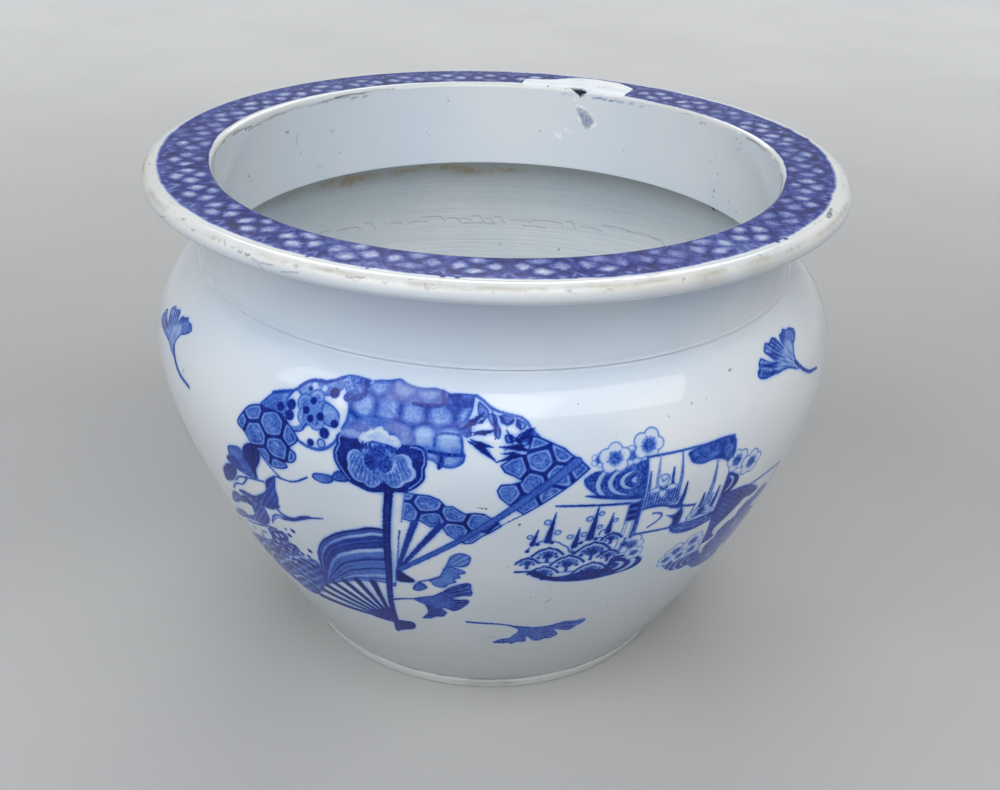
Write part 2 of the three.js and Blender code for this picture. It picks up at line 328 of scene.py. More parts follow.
class Canvas:
    """Ink from 0 to 1 on a grid, with the motif that owns each point."""

    def __init__(self, left, low, width, height, step, seed, closed=False):
        self.step = step
        self.closed = closed
        self.xs = left + step * np.arange(int(round(width / step)))
        self.ys = low + step * np.arange(int(round(height / step)) + 1)
        self.ink = np.zeros((len(self.ys), len(self.xs)))
        self.tint = np.zeros(self.ink.shape)
        self.owner = np.full(self.ink.shape, -1, np.int8)
        self.motif = 0
        self.rng = np.random.default_rng(seed)
        self.fine = self.grain(0.9)
        self.coarse = self.grain(4.0)

    def grain(self, cell):
        """Smooth random values from -1 to 1, one for each cell, as uneven ink takes."""
        rows = int(len(self.ys) * self.step / cell) + 3
        columns = int(len(self.xs) * self.step / cell) + 3
        seeds = self.rng.uniform(-1, 1, (rows, columns))
        v = (self.ys - self.ys[0]) / cell
        u = (self.xs - self.xs[0]) / cell
        if self.closed:
            u = u * (columns - 3) / (len(self.xs) * self.step / cell)
            seeds[:, columns - 3 :] = seeds[:, :3]
        i, j = v.astype(int)[:, None], u.astype(int)[None, :]
        fv, fu = (v % 1)[:, None], (u % 1)[None, :]
        fv, fu = fv * fv * (3 - 2 * fv), fu * fu * (3 - 2 * fu)
        low = seeds[i, j] * (1 - fu) + seeds[i, j + 1] * fu
        high = seeds[i + 1, j] * (1 - fu) + seeds[i + 1, j + 1] * fu
        return low * (1 - fv) + high * fv

    def window(self, points, margin):
        points = np.asarray(points, float)
        low, high = points.min(0) - margin, points.max(0) + margin
        columns = slice(*np.searchsorted(self.xs, (low[0], high[0])))
        rows = slice(*np.searchsorted(self.ys, (low[1], high[1])))
        x, y = np.meshgrid(self.xs[columns], self.ys[rows])
        return (rows, columns), x, y

    def lay(self, where, cover, tone):
        """Covers what is there, as a later print over a paler one."""
        self.ink[where] = self.ink[where] * (1 - cover) + np.clip(tone, 0, 1) * cover
        self.owner[where] = np.where(cover > 0.02, self.motif, self.owner[where])

    def area(self, points, smooth=True):
        """(window, x, y, distance): distance is negative inside the closed outline."""
        path = smooth_path(points, True) if smooth else np.array(points, float)
        where, x, y = self.window(path, 3.0)
        inside = np.zeros(x.shape, bool)
        near = np.full(x.shape, 1e9)
        for (ax, ay), (bx, by) in zip(path, np.roll(path, -1, 0)):
            near = np.minimum(near, segment_distance(x, y, ax, ay, bx, by))
            crosses = (ay > y) != (by > y)
            if by != ay:
                inside ^= crosses & (x < (bx - ax) * (y - ay) / (by - ay) + ax)
        return where, x, y, np.where(inside, -near, near)

    def fill(self, points, tone, smooth=True, rim=None, rim_width=1.0, mottle=0.06, texture=None):
        """A patch of ink, with a darker rim if one is given. texture(x, y) adds to the tone."""
        where, x, y, away = self.area(points, smooth)
        shade = tone + mottle * (self.fine[where] + self.coarse[where])
        if texture is not None:
            shade = shade + texture(x, y)
        if rim is not None:
            edge = soft_cover(np.abs(away + rim_width / 2) - rim_width / 2)
            shade = shade * (1 - edge) + rim * edge
        self.lay(where, soft_cover(away), shade)

    def fade(self, points, share, tint=0.0, reach=3.0):
        """Thins the ink inside an outline and turns it violet, softly at its edge."""
        where, _, _, away = self.area(points)
        soft = np.clip(0.5 - away / reach, 0, 1)
        self.ink[where] *= 1 - share * soft * np.clip(0.8 + 0.5 * self.coarse[where], 0, 1)
        self.tint[where] = np.maximum(self.tint[where], tint * soft)

    def heart(self, x0, y0, radius, tone):
        """A stippled dark patch with a soft edge, as stamens are printed."""
        where, x, y = self.window([(x0, y0)], radius * 1.5)
        away = np.hypot(x - x0, y - y0) / radius + 0.3 * self.fine[where]
        self.lay(where, np.clip(2.2 - 1.7 * away, 0, 1), tone + 0.24 * self.fine[where])

    def stroke(self, points, width, tone, smooth=True, end_width=None, mottle=0.05):
        path = smooth_path(points, False) if smooth and len(points) > 2 else np.array(points, float)
        end_width = width if end_width is None else end_width
        where, x, y = self.window(path, max(width, end_width) + 1)
        halves = np.linspace(width, end_width, len(path)) / 2
        away = np.full(x.shape, 1e9)
        for a, b, start, end in zip(path, path[1:], halves, halves[1:]):
            away = np.minimum(away, segment_distance(x, y, *a, *b, start, end))
        self.lay(where, soft_cover(away + 0.3 * self.fine[where]), tone + mottle * self.fine[where])

    def leaf(self, a, b, width, tone, bend=0.0):
        """A pointed brush leaf between two points, bent to its left by a share of its length."""
        (ax, ay), (bx, by) = a, b
        middle = ((ax + bx) / 2 - bend * (by - ay), (ay + by) / 2 + bend * (bx - ax))
        for tip in (a, b):
            self.stroke([middle, tip], width, tone, end_width=0.3, mottle=0.12)

    def dot(self, x0, y0, radius, tone, ring=None):
        where, x, y = self.window([(x0, y0)], radius + 2)
        away = np.hypot(x - x0, y - y0) - radius
        shade = np.full(x.shape, float(tone))
        if ring is not None:
            shade = np.where(away > -0.8, ring, shade)
        self.lay(where, soft_cover(away), shade)

    def tortoise(self, outline, centres, stops=(0.86, 0.33, 0.58, 0.46), smooth=True, grainy=0.16):
        """Tortoiseshell cells round the centres, with stops from their border lines to their middle."""
        where, x, y, away = self.area(outline, smooth)
        spread = np.stack([np.hypot(x - cx, y - cy) for cx, cy in centres])
        spread.sort(0)
        gaps = np.maximum(spread[1:3] - spread[0], 0.02) / 2
        border = (gaps**-4).sum(0) ** -0.25
        border = np.minimum(border, np.maximum(-away, 0) + 0.2)
        lines, frame, inner, middle = stops
        shade = np.interp(border, (0.8, 1.25, 1.85, 2.5, 3.2), (lines, frame, frame, inner, middle))
        grain = np.where(border > 2.4, grainy, 0.05)
        shade = shade + grain * self.fine[where] + 0.07 * self.coarse[where]
        self.lay(where, soft_cover(away), shade)


def soft_cover(away):
    """1 inside an edge and 0 outside it, with a soft step between."""
    return np.clip(0.5 - away / EDGE_BLUR, 0, 1)


def segment_distance(x, y, ax, ay, bx, by, start=0.0, end=0.0):
    """Distance to a straight stroke whose half width runs from start to end."""
    length = max((bx - ax) ** 2 + (by - ay) ** 2, 1e-9)
    t = np.clip(((x - ax) * (bx - ax) + (y - ay) * (by - ay)) / length, 0, 1)
    return np.hypot(x - ax - t * (bx - ax), y - ay - t * (by - ay)) - start - t * (end - start)


def path_distance(x, y, path):
    pairs = zip(path, path[1:])
    return np.min([segment_distance(x, y, *a, *b) for a, b in pairs], axis=0)


def veins(x0, y0, count, depth, phase=0.0):
    """Fine lines spreading from a point, as leaf and petal veins do."""

    def texture(x, y):
        angle = np.arctan2(y - y0, x - x0)
        away = np.hypot(x - x0, y - y0)
        return depth * np.cos(angle * count + phase) * np.clip(away / 12, 0.2, 1)

    return texture


def streaks(direction, pitch, depth):
    """Brush lines running along a direction in degrees."""
    across = math.radians(direction + 90)

    def texture(x, y):
        along = x * math.cos(across) + y * math.sin(across)
        return depth * np.sin(2 * math.pi * along / pitch + 0.8 * np.sin((x - y) / 9))

    return texture


FAN_EDGE = [
    (-156.7, 234.4), (-150, 245.4), (-144.6, 248.8), (-139.9, 250.1), (-137.2, 254.6), (-132.4, 259.6),
    (-127.7, 261.4), (-118.2, 264.6), (-114.6, 268.4), (-109.5, 272.4), (-104, 273.5), (-98.6, 274.1),
    (-93.2, 276.5), (-88.5, 279.2), (-83.8, 281.1), (-77, 280.8), (-71.6, 280.3), (-66.2, 281.4),
    (-60.8, 282.2), (-54.7, 283.8), (-50, 281.6), (-43.2, 280.3), (-37.8, 280.3), (-32.4, 280.8),
    (-25.7, 279.2), (-20.9, 277.3), (-14.9, 278.1), (-8.8, 278.1), (-4.7, 275.8), (0, 271.8),
    (5.4, 269.5), (12.2, 267.7), (16.9, 266.8), (20.3, 264.3), (23, 260), (27, 256.2),
]


def paint_big_fan(c):
    # Pale plum cloud between the scalloped edge and its lower edge
    cloud = FAN_EDGE[3:14] + [(-86, 272), (-83, 262), (-84, 250), (-90, 239), (-98, 235.5), (-113, 238),
                              (-122, 248)]
    c.fill(cloud, 0.0, mottle=0.0)
    c.fill(FAN_EDGE[3:8] + [(-121, 258), (-121, 250), (-130, 249)], 0.46, rim=0.62, mottle=0.1)
    c.fill(
        [(-116, 266), (-109.5, 272.4), (-98.6, 274.1), (-88.5, 279.2), (-87, 273), (-91, 269), (-97, 266),
         (-104, 267), (-108, 262.5), (-113, 263)],
        0.42, rim=0.6, mottle=0.12,
    )
    c.dot(-106, 270, 2.0, 0.02)
    c.dot(-99, 270, 1.6, 0.05)
    for turn in range(5):
        angle = math.radians(84 + 72 * turn)
        c.dot(-103 + 6.6 * math.cos(angle), 257 + 6.2 * math.sin(angle), 5.4, 0.3, ring=0.52)
        c.heart(-103 + 6 * math.cos(angle), 257 + 5.6 * math.sin(angle), 3.6, 0.42)
    c.dot(-103, 257, 4.6, 0.36)
    c.fill([(-97, 263), (-91, 262), (-86, 258), (-86, 252), (-91, 250), (-96, 252), (-98, 257)],
           0.34, rim=0.6)
    c.fill([(-84, 261), (-79, 259), (-79, 253), (-83, 250), (-86, 254)], 0.04)
    buds = [
        (-104, 262, 2.1), (-107.5, 256, 2.2), (-104, 252, 2.1), (-98, 254.5, 2.3), (-125, 253.5, 2.6),
        (-118, 256.5, 3.1), (-118, 250.5, 3.1), (-92, 269, 3.0), (-94, 246, 3.1), (-88.5, 252.5, 2.3),
        (-102.3, 238.6, 2.2), (-83, 268.5, 2.8), (-108, 268, 1.4),
    ]
    for bud in buds:
        c.dot(*bud, 0.82)
    c.dot(-95.5, 239.8, 2.8, 0.25, ring=0.65)
    c.stroke([(-131, 249), (-124, 245), (-116, 243.6), (-110, 245.5), (-107, 249.5)], 2.8, 0.4)
    c.stroke([(-130, 246.5), (-123, 243.2), (-115, 242.2), (-109, 244), (-106, 248.5)], 1.1, 0.72)
    c.stroke([(-113, 239), (-107, 236.4), (-98, 235.6), (-91, 238.6), (-86, 244)], 2.0, 0.56)
    c.stroke(FAN_EDGE[5:14], 1.9, 0.62)
    # Tortoiseshell at the left end
    left = [
        (-157, 234.5), (-150, 245.5), (-144.6, 249), (-139, 250.4), (-131, 250), (-122, 249.3),
        (-117.5, 245.5), (-111.5, 240), (-111.5, 236), (-116, 231.6), (-112.5, 229.5), (-112, 226),
        (-115, 222), (-120, 220.6), (-119, 217.6), (-124, 214.8), (-131, 213.8), (-136, 217.5),
        (-141, 221.5), (-146, 224.5), (-151, 230),
    ]
    cells = [
        (-129, 242), (-142, 231), (-125.5, 228), (-147, 247), (-114, 239.5), (-111, 225), (-126, 214.5),
        (-138, 218), (-157, 238), (-118, 254), (-134, 257),
    ]
    c.tortoise(left, cells)
    # Washed tortoiseshell over the top
    top = FAN_EDGE[13:28] + [
        (-10, 270), (-13, 263), (-15, 256), (-14, 249), (-13, 244.5), (-14.5, 240.5), (-20, 237.6),
        (-27, 238.4), (-31, 241), (-38, 242), (-44, 250), (-60, 252), (-76, 251), (-84, 250), (-82, 256),
        (-82, 263), (-85, 270),
    ]
    cells = [
        (-73, 265.5), (-58, 266), (-43.5, 266), (-28, 267), (-12, 268), (-81, 277), (-66, 279.5),
        (-51, 279.5), (-36, 279), (-21, 276), (-36, 252.5), (-22, 253), (-20, 241), (-33, 243.5),
        (-88, 265), (-8, 256), (-65, 252), (-51, 252), (-79, 253),
    ]
    c.tortoise(top, cells, (0.64, 0.5, 0.4, 0.33), grainy=0.07)
    c.fill(
        [(-80, 250), (-79, 256), (-72, 259), (-62, 260.5), (-50, 260), (-43, 257), (-41, 250),
         (-60, 247)],
        0.47, mottle=0.07,
    )
    c.fill([(-17, 263), (-9, 265), (-8, 258), (-13, 255), (-16, 258)], 0.62, mottle=0.14)
    c.fade([(-60, 272), (-56, 283), (-40, 280), (-27, 279), (-26, 272), (-42, 271)], 0.3, 0.35)
    c.fade([(-41, 258), (-30, 259), (-15, 257), (-14, 245), (-30, 247), (-39, 247)], 0.5)
    c.fill([(-86, 272), (-88, 279), (-80, 280.4), (-70, 279.6), (-73, 272), (-80, 271)], 0.52, mottle=0.2)
    c.stroke([(-84.6, 268), (-78, 268.6), (-74, 272), (-74.4, 278)], 3.4, 0.7, mottle=0.2)
    c.stroke([(-28, 279), (-27, 272.4), (-34, 270.6), (-44, 271)], 2.2, 0.74, mottle=0.2)
    c.stroke([(-30, 246.6), (-29, 255.6), (-17.4, 256.4), (-15, 252), (-15, 247)], 1.4, 0.6, mottle=0.2)
    c.stroke([(-33, 246.2), (-24, 245.2), (-14, 245.4)], 2.0, 0.74, mottle=0.2)
    c.stroke([(-26.4, 245), (-25.6, 241), (-27, 237.6)], 2.4, 0.78, mottle=0.2)
    c.fill([(-24, 278), (-9, 278.3), (-8, 272), (-24, 271.5)], 0.66, mottle=0.12)
    # Bamboo and blossom over white at the right of the top
    bamboo = FAN_EDGE[27:] + [(25, 250), (20, 246), (12, 244.5), (4, 242), (-3, 245), (-9, 250),
                              (-10, 262)]
    c.fill(bamboo, 0.0, mottle=0.0)
    c.stroke(FAN_EDGE[27:], 1.8, 0.56)
    for petal in (
        [(-7, 275), (-1, 270), (-3, 266), (-7, 268)],
        [(-2, 268), (1, 262), (4, 263), (3, 268)],
        [(3, 264), (6, 260), (5, 255), (2, 258)],
        [(6, 268), (13, 266.5), (12, 263), (6, 263.5)],
        [(15, 266), (20, 263), (18, 260), (14, 262)],
        [(16, 258), (22, 260), (24, 256), (18, 253), (14, 254.5)],
        [(8, 257), (12, 257.5), (13, 253.5), (9, 253)],
    ):
        c.fill(petal, 0.5, rim=0.74, rim_width=0.8, mottle=0.15)
    # Leaves: (end, end, width)
    for a, b, width in (
        ((-4, 269), (-16, 259.5), 3.4), ((4, 260.2), (-11, 258), 2.8), ((2, 250.6), (-11, 254.6), 2.8),
        ((-12, 253.4), (4, 242.4), 3.4), ((-10, 256.6), (1, 258.4), 1.8), ((-11, 262), (-3, 268.6), 2.2),
        ((5, 250.8), (25, 247.8), 3.4), ((4, 242.4), (21, 246.4), 3.0), ((6, 247.2), (20, 245.6), 2.0),
        ((8, 249.4), (22, 252), 1.8), ((12, 253.6), (25, 256.6), 2.2), ((19.4, 260), (25, 248.4), 3.2),
        ((12, 257), (19, 249.6), 1.9), ((0.6, 270.6), (3, 255), 2.0), ((9, 260), (12.6, 251), 1.6),
        ((4, 268), (9, 262.4), 1.8), ((14, 266.6), (17, 259), 1.8), ((17, 256), (24.6, 261), 2.6),
        ((-2, 266.4), (-8, 262.6), 1.6), ((9.4, 262), (14, 266), 1.4), ((19, 252.6), (26, 253.6), 2.0),
    ):
        c.leaf(a, b, width, 0.84, bend=0.06)
    # Tortoiseshell at the right end, down to the guard stick
    right = [
        (23, 257), (27, 256.2), (32.4, 253.8), (37.8, 251.1), (41.2, 249.5), (44.6, 246.1), (50, 242.4),
        (55.4, 236.6), (45, 227.5), (30, 216), (20, 208.5), (14, 213), (10, 216.6), (6, 220.6),
        (4.4, 225.5), (6.5, 229.3), (12, 229.6), (17.8, 231.4), (14, 234), (8.5, 236.4), (5.8, 240.5),
        (12, 245), (20, 247),
    ]
    cells = [
        (28, 243), (13, 238), (24, 229.5), (38, 234), (10.5, 223), (41, 247.5), (49, 238.5), (21, 215.5),
        (34, 221.5), (25, 256), (0, 212),
    ]
    c.tortoise(right, cells, smooth=False)
    # The lower piece, between the ribs
    low = [
        (-47, 220), (-40, 219.6), (-32, 219.6), (-26.5, 217.4), (-23, 213), (-19.5, 213.6), (-16, 211),
        (-12.5, 208.6), (-7, 209.6), (-2, 209.2), (2, 206), (6, 203), (8, 199.6), (3, 195), (-3, 190.5),
        (-8.5, 184.5), (-13, 183.6), (-17.5, 186.5), (-23, 190.5), (-26, 197), (-32.5, 195.6),
        (-38, 199.6), (-44, 198.4), (-49.4, 199.6), (-48, 210),
    ]
    cells = [
        (-34, 213.5), (-46, 206), (-31.5, 201.5), (-18, 207.5), (-18.5, 194.5), (-5, 202.5), (-47, 221),
        (-5, 188), (8, 192), (-3, 216),
    ]
    c.tortoise(low, cells, smooth=False)
    c.stroke([(-46, 220), (-47.5, 210), (-49.5, 197)], 1.4, 0.45)
    # Ribs, the plain guard stick and the pivot
    c.stroke([(-56.5, 152), (-41.5, 198)], 2.6, 0.7, end_width=4.4)
    c.stroke([(-55.5, 153), (-26.5, 198)], 2.4, 0.74, end_width=4.2)
    guard = [(48, 241.5), (25.7, 224), (12.2, 212), (-14.9, 187.3), (-56, 151.5)]
    c.stroke(guard, 5.6, 0.72, smooth=False, end_width=3.8)
    c.stroke(guard, 4.0, 0.54, smooth=False, end_width=2.2)
    c.stroke([(8, 200.5), (14, 205), (20, 209)], 0.8, 0.66)
    c.fill(
        [(-59, 139), (-59, 149.5), (-55.5, 150.5), (-51.5, 146.8), (-47, 143), (-47.8, 140),
         (-53, 138.6)],
        0.88, mottle=0.05,
    )
    c.stroke([(-139, 219.5), (-133, 213), (-125.6, 207)], 1.1, 0.66)
    # Small pieces left of the flower
    c.fill(
        [(-102, 216), (-101, 219.6), (-96, 221), (-89.5, 221.4), (-88, 219), (-90, 216), (-96, 214)],
        0.46, rim=0.72, mottle=0.14,
    )
    c.fill(
        [(-89, 219), (-87.5, 224), (-83, 226), (-79, 222.5), (-79, 220), (-84, 218.5)],
        0.5, rim=0.78, mottle=0.14,
    )


def paint_peony(c):
    surround = [
        (-86.5, 246), (-84, 249), (-78, 250), (-72, 249), (-60, 248), (-49, 248), (-43, 248.8),
        (-37, 248.4), (-34, 245), (-33.6, 238.6), (-34.6, 235.4), (-34.6, 230), (-38, 225),
        (-43.4, 220.6), (-50, 218.4), (-58, 217.4), (-66, 216), (-72, 217.6), (-79, 220.6), (-84, 227),
        (-87, 232), (-87.6, 238), (-86, 242),
    ]
    where, x, y, away = c.area(surround)
    shade = 0.84 + 0.08 * c.coarse[where] + 0.09 * c.fine[where]
    shade = np.where((np.abs(away + 1.7) < 0.5) & (np.abs(x + 60.5) > 17), 0.38, shade)
    c.lay(where, soft_cover(away), shade)
    # Outer petals washed violet, and the pale ragged crown in front of them
    for petal, tone in (
        ([(-79, 250.2), (-78.4, 254.4), (-74.6, 256.8), (-69, 256.6), (-64.5, 254.8), (-68, 252),
          (-73, 250)], 0.46),
        ([(-57, 256), (-54.6, 259), (-48, 258), (-42.6, 254.4), (-40.2, 249.2), (-48, 249), (-51, 252)],
         0.4),
        ([(-85, 247.8), (-82, 250.6), (-77, 251.4), (-73, 250.8), (-72.8, 248), (-79, 246.8)], 0.3),
    ):
        c.fill(petal, tone, mottle=0.12)
        c.fade(petal, 0.0, 0.3)
    crown = [
        (-73.2, 247.6), (-71.6, 251), (-68.4, 252.4), (-66.6, 254), (-65, 253.8), (-62.6, 255.8),
        (-60.4, 256.2), (-59, 254.6), (-56.6, 254), (-55.6, 252.4), (-52.2, 252.4), (-49.6, 250.4),
        (-48.4, 247.6), (-50.3, 245), (-54, 246.6), (-60, 247.4), (-65, 247.6), (-69.5, 245),
        (-72.2, 245.6),
    ]
    c.fill(crown, 0.07, mottle=0.05)
    c.fill([(-69, 249), (-62, 253.4), (-58, 251.8), (-52, 249), (-60, 247.6)], 0.13, mottle=0.02)
    heart = [(-71, 237), (-69.8, 243), (-67, 246.2), (-60, 247), (-53, 245.8), (-50.4, 242), (-50.6, 236),
             (-54, 229.6), (-57, 226), (-60.6, 222), (-62, 227), (-67, 229.4), (-70.4, 233)]
    c.fill(heart, 0.5, mottle=0.24)
    petals = (
        [(-79.4, 234.6), (-78.6, 238.4), (-76, 240.8), (-73, 241.2), (-70.6, 239.4), (-69.8, 236.4),
         (-69.2, 233), (-66.8, 230.2), (-63.4, 228.6), (-60.6, 226.6), (-59.8, 224), (-61.6, 221),
         (-64.4, 219.2), (-67.3, 219.7), (-69.5, 221.5), (-72.7, 221.5), (-76, 223.4), (-77.6, 226),
         (-79, 228.6), (-78.6, 231.6)],
        [(-57, 229), (-56.8, 225.4), (-54.4, 222.2), (-51.4, 221.6), (-47.8, 222.8), (-45.6, 225.6),
         (-42, 227.6), (-39.6, 230.8), (-39.6, 234.4), (-41.6, 236.6), (-42, 239.8), (-44.2, 242.2),
         (-47.4, 243), (-50.6, 241.8), (-51.8, 238.6), (-51.8, 235.4), (-53.4, 232.4), (-55.6, 230.6)],
    )
    for petal in petals:
        c.fill(petal, 0.2, mottle=0.06)
        core = [(0.9 * x - 6.55, 0.93 * y + 16.16) for x, y in petal]
        c.fill(core, 0.46, rim=0.38, rim_width=0.8, mottle=0.12, texture=veins(-61, 264, 96, 0.1))
    for x0, y0, radius in ((-60.6, 242.4, 2.8), (-65.6, 235, 3.7), (-57, 234.6, 3.5)):
        c.heart(x0, y0, radius + 0.5, 0.74)
        for turn in range(6):
            c.dot(x0 + 0.55 * radius * math.cos(turn), y0 + 0.55 * radius * math.sin(turn), 0.35, 0.5)
    c.stroke([(-70, 237.4), (-68.6, 232.4), (-64.6, 229.6)], 0.9, 0.3)
    c.stroke([(-51.4, 238), (-52.2, 233.6), (-55.4, 230)], 1.3, 0.24)
    for x0 in (-70.4, -68.6, -66.4, -53.6, -51.4, -49.6):
        c.stroke([(x0, 245.8), (x0 + 0.5, 243.2)], 0.9, 0.86)
    # The stem, and the pale strip beside it
    c.fill([(-51.8, 219), (-46.5, 219), (-49.5, 197), (-52, 189), (-55, 168), (-61.5, 133), (-64.5, 133),
            (-58.5, 170), (-54, 200)], 0.06, smooth=False, mottle=0.03)
    c.stroke([(-51, 189.5), (-52.3, 182), (-54.3, 168), (-57.2, 152), (-61.4, 132)], 0.9, 0.62)
    c.stroke([(-61.8, 135), (-62.6, 131.8)], 1.6, 0.62)
    stem = [(-55, 219), (-57.5, 200), (-60.4, 175), (-63, 150), (-66.4, 128), (-69, 110), (-70.4, 90),
            (-73, 72)]
    c.stroke(stem, 5.2, 0.88, end_width=4.0)
    c.stroke(stem, 1.6, 0.78, end_width=1.2)
    c.fill(
        [(-71, 86), (-67, 88), (-62, 88.2), (-57, 89), (-54.6, 86), (-56, 80.5), (-60, 77.4), (-65, 75),
         (-73.6, 71.4), (-73, 78)],
        0.84, rim=0.92, texture=veins(-73, 82, 26, 0.08),
    )


def paint_half_fan(c):
    outer = [
        (-60, 188), (-70, 186.9), (-78.9, 182.4), (-90, 176.7), (-98.9, 170), (-107.8, 161.1),
        (-113.3, 152.2), (-116.7, 144.4), (-118.9, 134.4), (-121.1, 123.3), (-122.5, 114.4),
        (-124.6, 107.4),
    ]
    inner = [
        (-64, 133.9), (-72.2, 132.8), (-81.1, 130), (-90, 127.8), (-101.1, 121.6), (-110, 116.6),
        (-117.8, 111.4), (-124, 107),
    ]
    where, x, y, away = c.area(outer + inner[::-1], smooth=False)
    near_outer = path_distance(x, y, smooth_path(outer, False))
    near_inner = path_distance(x, y, smooth_path(inner, False))
    share = near_inner / (near_inner + near_outer + 1e-6)
    # Stripes from the inner to the outer edge: (share of the way, tone)
    stops = [
        (0, 0.8), (0.03, 0.3), (0.07, 0.5), (0.09, 0.72), (0.11, 0.4), (0.16, 0.2), (0.2, 0.46),
        (0.27, 0.5), (0.3, 0.84), (0.33, 0.46), (0.42, 0.52), (0.44, 0.36), (0.47, 0.88), (0.51, 0.56),
        (0.55, 0.42), (0.6, 0.46), (0.63, 0.1), (0.66, 0.12), (0.69, 0.82), (0.74, 0.66), (0.77, 0.84),
        (0.8, 0.56), (0.83, 0.8), (0.87, 0.7), (0.89, 0.18), (0.92, 0.16), (0.94, 0.74), (0.96, 0.46),
        (0.98, 0.9), (1, 0.9),
    ]
    tones = np.interp(share, *zip(*stops))
    turned = np.clip((-78 - x) / 46, 0, 1)
    tones = tones * (1 - 0.5 * turned) + 0.78 * 0.5 * turned
    tones = tones + 0.12 * turned * np.sin(share * 70) + 0.05 * c.fine[where] + 0.04 * c.coarse[where]
    c.lay(where, soft_cover(away), tones)
    c.stroke(outer, 1.0, 0.88)
    pivot = (-72.5, 87)
    tips = [(-78, 131), (-91, 128), (-103, 121.5), (-114.3, 113.6), (-124.7, 105.4), (-134, 95.9),
            (-144.4, 83.6)]
    for tip in tips:
        c.stroke([pivot, tip], 2.2, 0.94, end_width=5.4)
    for tip in ((-84.5, 127), (-97, 121), (-108.5, 114.5), (-119, 107), (-129, 98)):
        c.stroke([pivot, tip], 0.4, 0.3, end_width=0.8)
    c.fill(
        [(-93, 84.6), (-91, 92), (-84, 96), (-78, 99.4), (-71, 102), (-69.6, 84)],
        0.84, texture=veins(-72, 87, 30, 0.08),
    )


def paint_leaves(c):
    pale = [
        (-37, 144), (-33, 148), (-30, 150), (-27, 157), (-24, 165), (-22, 171), (-18, 174.5),
        (-14, 175.2), (-10, 173), (-9.3, 170), (-11, 164), (-14, 161.8), (-20, 161.2), (-14, 158.4),
        (-13, 155.4), (-17, 153.4), (-16, 150.4), (-20, 148.4), (-19, 145.4), (-24, 142.4), (-26, 139.2),
        (-30, 138), (-34, 139.4), (-35.6, 142.6),
    ]
    c.fill(pale, 0.42, rim=0.68, rim_width=0.9, texture=veins(-38, 146, 60, 0.09))
    c.stroke([(-22, 161.4), (-27, 158)], 0.9, 0.66)
    c.stroke([(-29, 150), (-36, 145.6), (-42, 142.6), (-44.5, 140.6)], 1.3, 0.7)
    c.fill(
        [(-49, 131.6), (-47.6, 137), (-44, 140.6), (-40.4, 140), (-38.8, 136), (-42, 133), (-45, 131)],
        0.56, rim=0.8, texture=veins(-40, 141, 18, 0.1),
    )
    dark = [
        (-50, 120), (-45, 123.6), (-35, 128), (-30, 132), (-25, 138), (-18, 143), (-12, 145.6),
        (-9.4, 143.6), (-9.6, 139), (-8.6, 135), (-10, 131), (-15, 130.6), (-22, 127), (-18, 126),
        (-12.6, 126.6), (-11, 124.4), (-12.6, 121), (-16, 116), (-20, 112.4), (-23, 111.2), (-27, 113.4),
        (-30.6, 114), (-29.4, 111), (-27.4, 109), (-28.6, 106), (-31, 102.6), (-36, 101.6), (-41, 98),
        (-47, 97), (-45, 100.6), (-42, 105), (-41.6, 111), (-43.4, 116), (-47, 119),
    ]
    c.fill(dark, 0.68, rim=0.84, rim_width=0.8, mottle=0.12, texture=veins(-52, 119, 70, 0.16))
    c.fill([(-50, 120), (-40, 125), (-30, 129), (-24, 124), (-28, 116), (-40, 115)], 0.56, mottle=0.08)
    c.stroke([(-66, 115), (-60, 117.6), (-52, 120), (-44, 123.6), (-36, 127), (-29, 133)],
             1.8, 0.78, end_width=0.8)
    lower = [
        (20, 94), (26, 93), (32, 91), (40, 90.6), (50, 91), (56, 93), (62, 94.4), (70, 93), (77, 93.8),
        (79.4, 91), (77, 87), (73, 84.4), (71, 81.4), (66, 80.5), (60, 83), (54.6, 84.2), (58, 80),
        (60, 76), (57, 73), (55, 71.3), (50, 72), (46, 69.8), (42, 70), (39, 72), (36, 76), (33.4, 78),
        (33.6, 74), (34.4, 71), (32, 69.4), (27, 70), (23, 67), (20, 69), (15, 68.6), (7, 69.5), (10, 73),
        (14, 75.5), (18, 76.2), (21, 77.4), (22.4, 80.4), (25.4, 84), (26, 88), (22.6, 91.4), (18, 94),
    ]
    c.fill(lower, 0.58, rim=0.8, rim_width=0.8, mottle=0.1, texture=veins(20, 95, 64, 0.12))
    c.stroke([(-13.4, 98.4), (0, 97.5), (8, 97), (14, 96), (22, 93.6), (34, 90.8)],
             2.0, 0.86, end_width=1.2)


